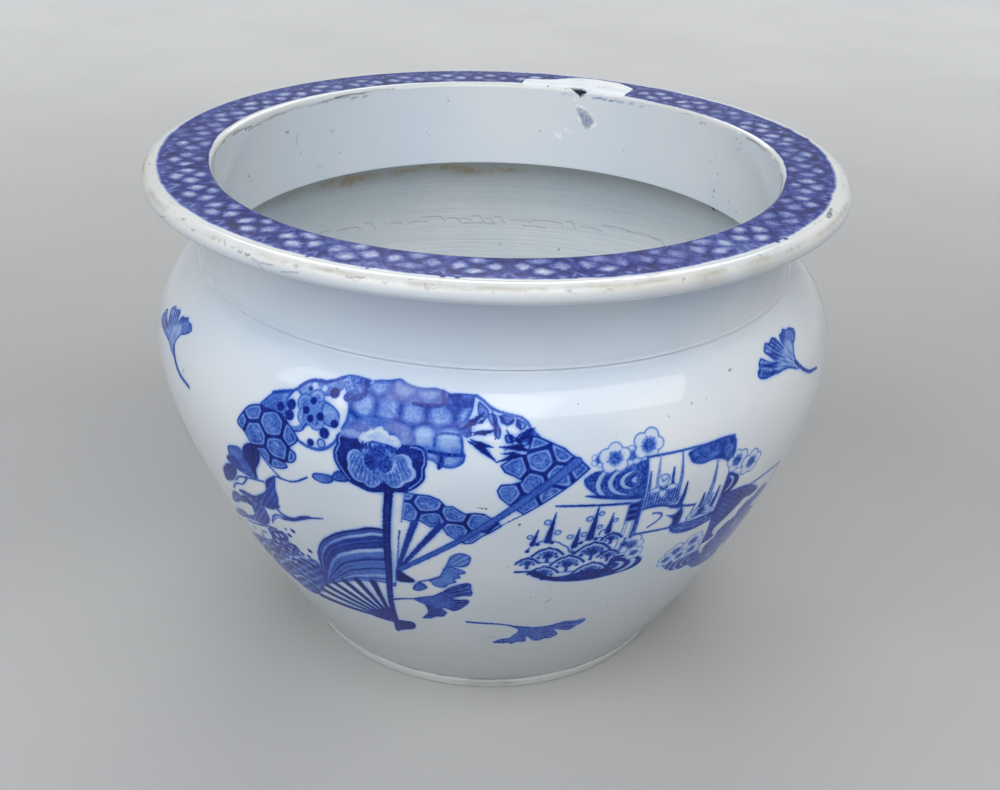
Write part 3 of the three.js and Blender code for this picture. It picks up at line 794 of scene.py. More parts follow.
def paint_sprig(c):
    leaf = [
        (178, 266), (181, 268), (182, 270.4), (186, 272.6), (189, 271), (192, 269), (199, 266),
        (195, 271), (192, 275), (195, 277.4), (198, 279), (202, 278), (207, 279.6), (211, 278),
        (212, 275), (213, 269), (214, 274), (216, 278), (221, 278.6), (224, 280), (228, 278), (232, 278),
        (237, 275), (234, 272), (229, 269.5), (225, 268), (222, 264), (221, 260), (224, 256),
        (222, 253.4), (219, 255), (213, 258), (206, 259.6), (198, 260), (188, 260.4), (182, 261),
        (177.6, 263),
    ]
    c.fill(leaf, 0.5, rim=0.74, rim_width=0.9, mottle=0.14, texture=veins(223, 252, 60, 0.2))
    for a, b in (
        ((180, 263), (214, 260)), ((183, 268), (214, 263)), ((194, 274), (217, 262)),
        ((209, 277), (219, 262)), ((226, 278), (222, 264)), ((186, 262), (206, 261)),
    ):
        c.leaf(a, b, 1.7, 0.72)
        c.leaf((a[0] + 1, a[1] + 2.4), b, 1.0, 0.34)
    # The pale foot of the leaf, with its outline and a few veins
    c.fade(
        [(198, 260.6), (201, 265), (206, 268), (211, 270), (216, 272.4), (222, 273), (225, 268),
         (222, 264), (221, 260), (223, 256), (221, 254), (214, 257), (206, 259)],
        0.74, reach=5.0,
    )
    for a, b in (
        ((204, 266), (219, 257.6)), ((209, 269), (220, 258.6)), ((215.6, 272), (221, 259.6)),
        ((198, 263.4), (216, 258.4)),
    ):
        c.leaf(a, b, 0.9, 0.5)
    c.stroke([(196, 260.2), (206, 259.6), (213, 258), (219, 255)], 0.9, 0.72)
    c.stroke([(225, 268), (222, 264), (221, 260), (224, 256)], 0.9, 0.72)
    c.stroke([(220, 259), (225, 254), (231, 249.4), (238, 246), (245, 244.4), (252, 242.6)],
             2.6, 0.76, end_width=1.6)


def paint_cranes(c):
    # Three-lobed leaf behind the fan's left end
    c.fill(
        [(-190, 176), (-187, 186), (-182, 191.6), (-176, 196.6), (-168.6, 198), (-168, 194.4),
         (-173, 187), (-180, 180.6)],
        0.84, rim=0.9, texture=veins(-166, 199, 24, 0.08),
    )
    c.fill(
        [(-175, 200.4), (-171, 205), (-170, 212), (-164.6, 215.4), (-158, 217), (-154.6, 214),
         (-151, 208), (-147.6, 202), (-147.6, 197.6), (-155, 195.6), (-164, 196.6), (-169, 199)],
        0.55, rim=0.66, mottle=0.1, texture=veins(-150, 196, 50, 0.12),
    )
    c.fill([(-175, 200.4), (-170, 206), (-163, 205), (-158, 199), (-165, 196)], 0.72, mottle=0.1)
    c.fill(
        [(-155, 215), (-152, 221), (-146, 224.4), (-141, 223.6), (-139.6, 218), (-142, 212),
         (-146, 205.6), (-148, 198), (-152, 206)],
        0.84, rim=0.88, texture=veins(-148, 196, 30, 0.07),
    )
    c.stroke([(-142, 197.8), (-151, 195.6), (-160, 193), (-168, 189.6), (-174, 184)], 1.2, 0.72)
    c.stroke([(-159, 193), (-163, 188), (-168, 183.4), (-176, 180), (-184, 172)], 1.2, 0.72)
    # Shore line from the fan's left end
    c.stroke([(-106, 215), (-112, 210.6), (-118.9, 207.4), (-126, 207), (-131, 206.4), (-139, 200)],
             1.2, 0.72)
    # The nearer crane: wing, body, neck and beak
    c.fill(
        [(-131, 206), (-133.3, 196), (-133.6, 188), (-137, 180), (-143, 174), (-152, 172), (-165, 172),
         (-177, 173), (-171, 177), (-160, 178), (-152.2, 182.4), (-143, 190.4), (-140.4, 199)],
        0.66, rim=0.78, mottle=0.1, texture=streaks(52, 3.6, 0.1),
    )
    c.fill(
        [(-154, 172.6), (-152, 166), (-154, 158), (-163, 149), (-178, 145), (-190, 141), (-182, 148),
         (-172, 154), (-169, 162), (-168, 170)],
        0.6, rim=0.74, mottle=0.1, texture=streaks(48, 3.4, 0.12),
    )
    c.fill([(-178, 168), (-170, 172), (-166, 168), (-170, 164), (-176, 165)], 0.78)
    c.stroke([(-151, 158), (-146.6, 166), (-141, 170), (-134, 170.6)], 1.3, 0.74)
    c.stroke([(-148, 162), (-142, 167.4), (-134, 168.6)], 0.9, 0.6)
    c.stroke(
        [(-136, 180.4), (-138.6, 177), (-136, 173.4), (-130, 172.6), (-124, 174.4), (-119, 178),
         (-112, 181)],
        1.8, 0.78, end_width=2.4,
    )
    c.stroke([(-136, 169.6), (-128, 171.6), (-120, 176), (-112, 180.4), (-101.7, 184)],
             2.4, 0.74, end_width=1.0)
    # The farther crane
    c.fill(
        [(-176, 163), (-184, 160), (-191, 155), (-200, 151), (-196, 158), (-190, 165), (-184, 169),
         (-178, 168)],
        0.62, rim=0.76, texture=streaks(40, 3.6, 0.12),
    )
    c.stroke([(-150, 152.4), (-158, 150), (-168, 146), (-180, 141), (-192, 137)], 1.4, 0.74)
    c.fill(
        [(-186, 148), (-196, 146), (-206, 140), (-214, 132), (-204, 134), (-196, 138), (-188, 142)],
        0.62, rim=0.76, texture=streaks(36, 3.6, 0.12),
    )
    # Foam and waves
    mass = [
        (-150, 151), (-144, 153), (-141, 149), (-143, 143.6), (-137, 143), (-135, 138), (-138, 134),
        (-131, 132), (-126, 134.6), (-121, 133), (-122, 120), (-125, 106), (-130, 101), (-137, 93),
        (-145, 84), (-152, 80), (-162, 79), (-170, 83), (-178, 86), (-188, 88), (-196, 94), (-204, 104),
        (-208, 114), (-200, 120), (-190, 124), (-181, 127), (-172, 130), (-164, 136), (-163, 145),
        (-157, 149.6),
    ]
    c.fill(mass, 0.62, rim=0.7, mottle=0.12, texture=streaks(38, 6.5, 0.13))
    swells = (
        [(-150, 118), (-143, 128), (-134, 131), (-126, 128)],
        [(-160, 112), (-151, 124), (-141, 126), (-131, 122)],
        [(-172, 104), (-160, 116), (-148, 118), (-136, 113)],
        [(-182, 98), (-170, 108), (-156, 110), (-142, 104)],
        [(-192, 100), (-182, 110), (-170, 113), (-160, 112)],
        [(-168, 92), (-156, 99), (-146, 98), (-138, 94)],
        [(-196, 110), (-188, 116), (-178, 118), (-170, 122)],
    )
    for swell in swells:
        c.stroke(swell, 2.6, 0.22, end_width=1.2)
        c.stroke([(x + 1.2, y - 2.8) for x, y in swell], 2.2, 0.86, end_width=1.4)
    foam = [
        (-155, 143, 3.2), (-149, 146, 2.6), (-158, 136, 3.0), (-151, 138, 2.4), (-147, 133, 2.6),
        (-143, 138, 2.0), (-165, 128, 2.6), (-158, 127, 2.2), (-150, 128, 1.8), (-172, 122, 2.4),
        (-178, 118, 2.2), (-163, 121, 1.8), (-186, 113, 2.2), (-168, 116, 1.8),
    ]
    for x, y, radius in foam:
        c.dot(x, y, radius + 1.1, 0.82)
        c.dot(x + 0.5, y + 0.6, radius * 0.75, 0.2)
    drops = [
        (-132.2, 159.4, 1.9), (-138, 152.4, 1.9), (-124, 143.8, 1.9), (-133.9, 135.8, 1.8),
        (-128, 136, 1.8), (-174, 136, 1.8), (-179, 130.6, 1.6), (-169, 139, 1.4), (-187, 133, 1.6),
        (-139, 158, 1.0),
    ]
    for drop in drops:
        c.dot(*drop, 0.78)


def blossom(c, x0, y0, size, turn=90.0):
    """A pale plum blossom: five thinly outlined petals round a dark stippled middle."""
    for ring, tone in ((0.51, 0.42), (0.43, 0.08)):
        for step in range(5):
            angle = math.radians(turn + 72 * step)
            wide = ring * size * (1 + 0.1 * math.sin(7 * step + x0))
            c.dot(x0 + 0.62 * size * math.cos(angle), y0 + 0.56 * size * math.sin(angle), wide, tone)
    for step in range(5):
        angle = math.radians(turn + 36 + 72 * step)
        tip = (x0 + 0.62 * size * math.cos(angle), y0 + 0.56 * size * math.sin(angle))
        c.stroke([(x0, y0), tip], 0.16 * size, 0.46, end_width=0.4)
    c.heart(x0, y0, 0.44 * size, 0.58)


def stream(
    c, outline, eye, rings, tone=0.67, pitch=5.2, flat=0.5, away_from=0.0, first=None, thick=0.2,
):
    """Dark water with pale crescents round an eye, thickest on the side away from a direction."""
    where, x, y, away = c.area(outline)
    first = pitch / 2 if first is None else first
    round_eye = np.hypot(x - eye[0], (y - eye[1]) / flat)
    turned = np.arctan2((y - eye[1]) / flat, x - eye[0]) - math.radians(away_from)
    side = np.clip(-2 * np.cos(turned) - 0.4, 0, 1)
    wave = 0.5 + 0.5 * np.cos(2 * math.pi * (round_eye - first) / pitch)
    near = round_eye < first + (rings - 0.5) * pitch
    lines = np.clip((wave - 1 + thick * side) / (0.4 * thick), 0, 1) * near
    shade = tone + 0.08 * c.coarse[where] + 0.2 * c.fine[where]
    shade = shade * (1 - lines) + 0.14 * lines
    c.lay(where, soft_cover(away), shade)


CREST = [
    (-1.14, -0.2), (-0.98, 0.02), (-0.75, 0.25), (-0.5, 0.46), (-0.25, 0.52), (0, 0.66), (0.25, 0.54),
    (0.5, 0.46), (0.78, 0.22), (0.98, 0.02), (1.14, -0.2),
]
BELL = [
    (-0.8, -0.2), (-0.6, 0.16), (-0.26, 0.3), (0, 0.42), (0.26, 0.3), (0.6, 0.16), (0.8, -0.2),
    (0.5, -0.46), (0.16, -0.34), (0, -0.44), (-0.16, -0.34), (-0.5, -0.46),
]


def crested_flower(c, x0, y0, size, tone=0.8):
    """A scalloped crest over a pale band and a dark-hearted bell with a stem and two tips."""
    c.fill([(x0 + size * u, y0 + size * v) for u, v in CREST] + [(x0, y0 - 0.5 * size)], 0.03)
    c.fill([(x0 + size * u, y0 + size * v) for u, v in BELL], 0.34, rim=0.24, rim_width=1.0, mottle=0.3)
    c.heart(x0, y0 - 0.24 * size, 0.34 * size, tone)
    for x, y in zip((-0.56, -0.28, 0, 0.28, 0.56), (-0.02, 0.14, 0.2, 0.14, -0.02)):
        c.heart(x0 + size * x, y0 + size * y, 0.12 * size, tone - 0.2)
    c.stroke([(x0 + size * u, y0 + size * v) for u, v in CREST], 1.7, tone)
    c.stroke([(x0, y0 - 0.3 * size), (x0, y0 - 0.9 * size)], 1.2, 0.72, end_width=2.4)
    for side in (-1, 1):
        c.dot(x0 + 0.66 * side * size, y0 - 0.4 * size, 0.13 * size, tone)


def paint_cards(c):
    # Card 1: irises by a stream
    stream(
        c,
        [(52, 230), (53, 226), (57, 221.6), (62, 218.4), (70, 216.6), (80, 215), (90, 213.6), (90, 235.6),
         (78, 236), (67, 235.4), (58, 234.2), (54, 232)],
        (84, 226), 4, tone=0.62, pitch=7.0, flat=0.6, first=2.8, thick=0.4,
    )
    c.fill([(53, 219.5), (60, 217), (70, 214.6), (80, 212.6), (89, 211.6), (89, 214), (74, 216),
            (62, 219)], 0.7)
    for blossom_at in (
        (79.6, 241, 6.0, 100), (60, 241, 4.4, 70), (69.6, 241, 8.6, 90), (89.9, 245.6, 9.0, 72),
    ):
        blossom(c, *blossom_at)
    card = [(90, 238.4), (150, 237), (150, 180), (90, 182)]
    c.fill(card, 0.02, smooth=False, mottle=0.02)
    c.fill(
        [(118.4, 236.6), (117.2, 231.6), (120, 228), (127, 225.6), (134, 226.2), (141, 224.6),
         (146, 221.4), (149.6, 216), (150, 237)],
        0.6, rim=0.64, mottle=0.16,
    )
    # Leaves: (path, width at the tip, width at the foot, tone)
    for leaf, tip, wide, tone in (
        ([(97.4, 237), (96.6, 226), (97.4, 212)], 0.8, 3.4, 0.34),
        ([(112, 237), (112.6, 222), (112, 203)], 0.8, 3.4, 0.48),
        ([(106.8, 228.4), (106.6, 222), (107.4, 214)], 0.8, 2.6, 0.76),
        ([(91.8, 229), (91.6, 218), (92, 206)], 0.9, 2.8, 0.62),
        ([(117.8, 216), (117.6, 207), (115.8, 198)], 0.8, 3.8, 0.82),
        ([(138.2, 225.4), (139, 208), (137.6, 187)], 0.8, 5.0, 0.44),
        ([(134, 202.6), (134.4, 196), (133.6, 189)], 0.8, 3.2, 0.84),
        ([(145.8, 203.4), (145.4, 194), (143.8, 183)], 1, 4.2, 0.82),
        ([(141.6, 199), (141.4, 192), (140.4, 186)], 0.7, 2.4, 0.7),
        ([(129.6, 196), (128.4, 190), (127.8, 184)], 0.7, 2.0, 0.5),
    ):
        c.stroke(leaf, tip, tone, smooth=False, end_width=wide, mottle=0.1)
        c.stroke(leaf[1:], 0.3, max(tone - 0.3, 0.1), smooth=False, end_width=0.7)
    where, x, y, away = c.area([(91, 203.4), (91, 212), (96, 214), (108, 214.6), (113, 210),
                                (113, 202.4)])
    stems = 0.52 + 0.2 * np.sin(3.4 * x + 1.6 * c.coarse[where]) + 0.24 * c.fine[where]
    c.lay(where, soft_cover(away), np.clip(stems, 0.1, 0.85))
    for petal in (
        [(96.6, 221), (97, 224.4), (100.4, 226), (104, 224.4), (104.6, 220.6), (102.6, 217.4),
         (98.6, 217.4)],
        [(91.6, 215.4), (95, 217.6), (99.4, 217.4), (100, 214.6), (96.4, 213.4)],
        [(103, 217.4), (107.6, 217.8), (111.6, 215.4), (108, 213.2), (102.8, 214.4)],
        [(98.6, 214.6), (99, 210.6), (101.6, 208.6), (104, 211), (103.8, 214.4)],
    ):
        c.fill(petal, 0.08, rim=0.5, rim_width=0.7)
    c.stroke([(99, 223.4), (100.6, 221), (103, 223)], 0.6, 0.46)
    for x, y in ((101.4, 215.6), (99.6, 216.4), (103.2, 216.2)):
        c.dot(x, y, 0.8, 0.8)
    c.stroke([(90, 202.6), (97, 203.6), (103, 202.4), (109, 200.4), (118, 197.4), (128.4, 194.6)],
             1.4, 0.72)
    c.fill([(106, 202), (112, 200.4), (118, 199.6), (119, 196.8), (112, 197.4), (108.4, 199.4)], 0.66)
    c.stroke([(98.6, 197.4), (103.4, 196.2), (105.2, 193), (102.6, 189.6), (97.6, 186)], 1.3, 0.66)
    c.fill(
        [(108.4, 193), (111.4, 191.8), (115, 191.6), (117, 194), (118.6, 197.4), (119.6, 195),
         (121.2, 190.6), (121.4, 185), (120.6, 180.2), (114, 179.6), (115.4, 184), (114.6, 187.6),
         (111.6, 190.4)],
        0.74, rim=0.66, mottle=0.16,
    )
    # A flower opening upwards: nine petals with a rim, then their pale middles with a dark line
    for shorter, strokes in ((0, ((1.6, 0.42, 4.4),)), (0.8, ((0.8, 0.06, 3.4), (1.4, 0.78, 0.3)))):
        for petal in range(9):
            turned = math.radians(180 / 8 * petal)
            reach = (9.6 if petal % 2 else 8.2) - shorter
            tip = (136.6 + reach * math.cos(turned), 181.4 + 0.9 * reach * math.sin(turned))
            for width, tone, end_width in strokes:
                c.stroke([(136.6, 184), tip], width, tone, end_width=end_width)
    c.heart(136.6, 187, 2.8, 0.82)
    frame = [(89.2, 182), (89.2, 238.6), (150.2, 237), (150.4, 180)]
    c.stroke(frame, 1.3, 0.62, smooth=False, mottle=0.1)
    c.stroke([(89.4, 182), (100, 181.4), (116, 179.8)], 1.5, 0.74, smooth=False)
    # The narrow strip between the two cards
    c.fill([(81, 210), (88.6, 210), (88.6, 195.4), (81, 195)],
           0.72, smooth=False, texture=streaks(2, 4.6, 0.2))
    c.fill([(81.8, 195), (86, 195.4), (86, 181), (82, 180)], 0.02, smooth=False, rim=0.4, rim_width=0.6)
    c.stroke([(87.8, 210), (87.8, 196), (87.2, 180)], 1.6, 0.74, smooth=False)
    stream(
        c,
        [(115.4, 179.6), (122, 181), (134, 180), (146, 180.4), (152, 182), (160, 186), (160, 176),
         (150, 172), (136, 169.6), (124, 171.4), (117.4, 175)],
        (128, 180), 0,
    )
    c.stroke([(119, 178.2), (126, 175.2), (138, 173.4), (150, 174.6)], 0.9, 0.3)
    c.stroke([(126, 179), (134, 176.8), (147, 177.2)], 0.8, 0.36)
    stream(
        c,
        [(151, 211), (156, 209), (161.4, 205), (162.4, 199), (158, 194.4), (151, 193.4)],
        (150, 202), 1, tone=0.82, pitch=8.4, flat=0.9, away_from=180, first=7.0,
    )
    blossom(c, 155.2, 218.6, 8.0, 100)
    blossom(c, 170, 212, 8.6, 84)
    # Card 2: horsetails and buds over crested flowers on a bank
    paper = [(33, 212.6), (81, 210.4), (79, 160), (24, 158), (20, 170), (30, 190)]
    c.fill(paper, 0.0, smooth=False, mottle=0.0)
    c.stroke([(37.5, 214), (56, 212.4), (81, 209.8)], 1.2, 0.76, smooth=False, end_width=1.8)
    c.stroke([(81, 210), (80.4, 188), (78.4, 165)], 0.8, 0.46, smooth=False)
    c.stroke([(24, 157.6), (30, 153.4), (38, 150.4), (46, 149.6)], 0.9, 0.1)
    for tip, base, wide in (
        ((38, 209.4), (35, 186.6), 4.4), ((62.6, 212), (60.4, 185.6), 5.0), ((72.2, 204), (71, 189), 4.0),
        ((53.3, 195.4), (51.8, 180), 4.4), ((29, 196), (26.4, 184), 3.2),
    ):
        c.stroke([tip, base], 0.5, 0.82, smooth=False, end_width=wide)
    for bud in (
        (33.9, 202, 2.3), (40.4, 193.2, 2.2), (24.6, 190.4, 2.0), (58.2, 202, 2.3), (64.8, 205, 1.9),
        (65.2, 194.4, 1.9), (74.4, 198, 1.8), (48.2, 188.6, 2.1), (56.4, 189.4, 2.1),
    ):
        c.dot(*bud, 0.16, ring=0.56)
    for stalk in (
        [(23.2, 177.2), (25, 181), (29.3, 185.2), (33, 186.6), (38, 186), (42, 184.4), (45, 181.6),
         (48, 179), (49.6, 175)],
        [(50, 176), (53, 181), (58, 184), (64, 184.8), (70, 184), (75, 180)],
        [(26, 167), (36, 166.4), (43, 165.4)], [(66, 187), (66.6, 190.6), (70, 191.6)],
        [(42, 155.6), (50, 155), (57, 155)],
    ):
        c.stroke(stalk, 0.8, 0.72)
    for x, y in ((29.4, 183.8), (37.8, 184.8), (23.8, 177.8), (55.6, 182.2), (51.6, 174.4), (64.4, 184)):
        c.dot(x, y, 1.3, 0.82)
    for flower in (
        (36.6, 174.6, 8.4), (64.3, 174.4, 10.2), (24.8, 167.4, 6.2), (50, 165.2, 9.4), (74.6, 183.4, 5.6),
        (35.6, 157.0, 8.4), (66.6, 154.6, 10.6), (76, 167.4, 6.4),
    ):
        crested_flower(c, *flower)
    stream(
        c,
        [(25.6, 157), (31, 158.4), (36, 154.4), (44, 151), (54, 152), (66, 154.6), (76, 153.4),
         (79, 162.6), (86, 164), (94, 161), (101, 157), (103, 152), (98, 147), (84, 144.4), (66, 143.4),
         (48, 145.4), (34, 150)],
        (80, 154), 2, tone=0.82, pitch=8.4, flat=0.5, away_from=180, first=8.2, thick=0.55,
    )
    c.stroke([(18, 158.2), (25, 158), (30, 158.6)], 1.9, 0.76, end_width=1.0)
    blossom(c, 90, 172.6, 8.4, 70)
    blossom(c, 94, 163.8, 6.0, 100)
    c.heart(84.6, 174.6, 2.4, 0.7)
    c.stroke([(84, 180), (83.6, 174), (82, 166)], 1.2, 0.6)
    # Card 3: chrysanthemums across a cloud
    card = [(154, 189), (182, 188), (218, 189), (216, 112), (176, 110), (157, 124)]
    c.fill(card, 0.05, smooth=False, mottle=0.03)
    c.fill(
        [(152, 194), (163, 193), (176, 191), (188, 185), (198, 177), (190, 175), (183, 176.4), (174, 168),
         (164, 160), (163, 154), (168, 148), (158, 146), (155, 160), (151, 178)],
        0.72, rim=0.8, mottle=0.08, texture=streaks(-36, 3.4, 0.07),
    )
    for flower in (
        (196, 160, 11), (182, 148, 11), (206, 146, 11), (190, 133, 12), (208, 127, 10), (176, 128, 10),
        (194, 119, 9), (208, 168, 8), (172, 138, 7), (214, 140, 6),
    ):
        chrysanthemum(c, *flower)
    c.stroke([(181, 189), (200, 189.6), (219, 189), (218.6, 160), (216, 124)], 1.5, 0.7, smooth=False)
    c.stroke([(157, 190), (156, 165), (158, 132)], 1.1, 0.6, smooth=False)
    stream(
        c,
        [(126, 139), (131, 132), (140, 126), (150, 123), (158, 123), (166, 116), (176, 111), (190, 108),
         (204, 109), (200, 115), (184, 118), (172, 124), (164, 132), (158, 139), (146, 137.6),
         (136, 139.6)],
        (156, 131), 4.6, pitch=6.2, flat=0.6,
    )
    for x, y, size in (
        (132, 150, 8.6), (145, 155, 8.0), (126, 144, 6.4), (148, 145, 7.2), (138, 143, 6.4),
    ):
        blossom(c, x, y, size, 60 + 3 * x)


def chrysanthemum(c, x0, y0, radius):
    """Rings of narrow petals, dark between."""
    where, x, y = c.window([(x0, y0)], radius + 2)
    away = np.hypot(x - x0, (y - y0) / 0.86)
    angle = np.arctan2(y - y0, x - x0)
    ring = np.floor(away / 3.6)
    petal = np.cos(angle * (7 + 4 * ring) + ring * 1.3)
    rim = np.abs((away / 3.6) % 1 - 0.5) * 2
    shade = 0.62 - 0.3 * np.clip(petal, -0.4, 1) * (1 - rim**3) + 0.16 * rim**4
    shade = shade + 0.07 * c.coarse[where] + 0.06 * c.fine[where]
    edge = radius * (1 + 0.05 * np.cos(angle * 9))
    c.lay(where, soft_cover(away - edge), np.clip(shade, 0.1, 0.9))


def painted_body():
    """The picture of one repeat; what passes its left or right end comes back in at the other."""
    left = PRINT_LEFT - MARGIN_COLUMNS * PRINT_STEP
    width = REPEAT + 2 * MARGIN_COLUMNS * PRINT_STEP
    c = Canvas(left, PRINT_LOW, width, PRINT_HIGH - PRINT_LOW, PRINT_STEP, 7)
    for motif, paint in (
        (CRANES, paint_cranes), (HALF_FAN, paint_half_fan), (FAN, paint_big_fan), (PEONY, paint_peony),
        (LEAVES, paint_leaves), (SPRIG, paint_sprig), (CARDS, paint_cards),
    ):
        c.motif = motif
        paint(c)
    body = slice(MARGIN_COLUMNS, MARGIN_COLUMNS + PRINT_COLUMNS)
    ink, owner, tint = c.ink[:, body].copy(), c.owner[:, body].copy(), c.tint[:, body]
    for outside, inside in (
        (slice(0, MARGIN_COLUMNS), slice(PRINT_COLUMNS - MARGIN_COLUMNS, PRINT_COLUMNS)),
        (slice(MARGIN_COLUMNS + PRINT_COLUMNS, None), slice(0, MARGIN_COLUMNS)),
    ):
        more = c.ink[:, outside] > ink[:, inside]
        ink[:, inside] = np.where(more, c.ink[:, outside], ink[:, inside])
        owner[:, inside] = np.where(more, c.owner[:, outside], owner[:, inside])
    return c.xs[body], c.ys, ink, owner, tint


# Sheets that carry the prints and marks
RIM_COLUMNS = 2526
RIM_MIDDLE = 201.0
RIM_LENGTH = 2 * math.pi * RIM_MIDDLE
RIM_STEP = RIM_LENGTH / RIM_COLUMNS
RIM_STRIPS = 6
ROSETTES = 37
ROSETTE_RADIUS = 197.0
ROSETTE_AZIMUTH = -2.7
BEAD_START = 222.0
# The print's outer and inner edges: (azimuth from the front, distance from the axis over the rim)
PRINT_OUTER = (
    (-180, 217.6), (-165, 218.6), (-150, 219.4), (-120, 220.2), (-100, 218.4), (-88, 216.6), (-76, 215.2),
    (-60, 214.3), (-40, 213.8), (-15, 213.9), (8, 214.0), (20, 215.6), (31, 214.0), (50, 214.2),
    (72, 213.6), (88, 215.4), (102, 218.0), (120, 216.2), (150, 216.2),
)
PRINT_INNER = (
    (-180, 185.2), (-165, 185.4), (-150, 186.8), (-120, 188.6), (-100, 186.8), (-88, 185.0), (-76, 183.4),
    (-60, 181), (62, 181), (76, 183.4), (90, 185.4), (104, 186.0), (120, 184.4), (140, 183.2),
    (152, 184.0),
)


def rim_outline():
    """From the bore over the lip, the printed flange and the bead to the bead's seat underneath."""
    low = RIM_TOP - BEAD_HEIGHT
    roll = (RIM_RADIUS - BEAD_ROLL, RIM_TOP - BEAD_HEIGHT / 2)
    return joined(
        lip_outline()[::-1],
        line((BAND_END, RIM_TOP - BAND_DROP), (roll[0], RIM_TOP)),
        arc(roll, (BEAD_ROLL, BEAD_HEIGHT / 2), 90, -90, 48, BEAD_POWER),
        line((BEAD_SEAT + 1.2, low), (BEAD_SEAT + 0.4, low + 0.8)),
        line((BEAD_SEAT, low + 1.6), (BEAD_SEAT, RIM_TOP - FLANGE_EDGE)),
    )


def lip_outline():
    reach = (BAND_INNER - LIP_RADIUS, LIP_ROUND - BAND_DROP)
    return arc((BAND_INNER, RIM_TOP - LIP_ROUND), reach, 90, 180, 24)


NECK_MIDDLE = 182.0
LIP_LENGTH = float(np.hypot(*np.diff(lip_outline(), axis=0).T).sum())


def round_the_rim(table, azimuth):
    return np.interp(azimuth, *zip(*table), period=360)


def wiping(c, x, y, degrees, width):
    """Broken lines left across the print when its film was wiped down, from -1 to 1."""
    across = x * math.sin(math.radians(degrees)) - y * math.cos(math.radians(degrees)) + 1.5 * c.grain(20.0)
    first = across.min()
    values = c.rng.uniform(-1, 1, int((across.max() - first) / width) + 2)
    lines = np.interp(across - first, width * np.arange(len(values)), values)
    return lines * np.clip(0.5 + c.grain(9.0), 0, 1)


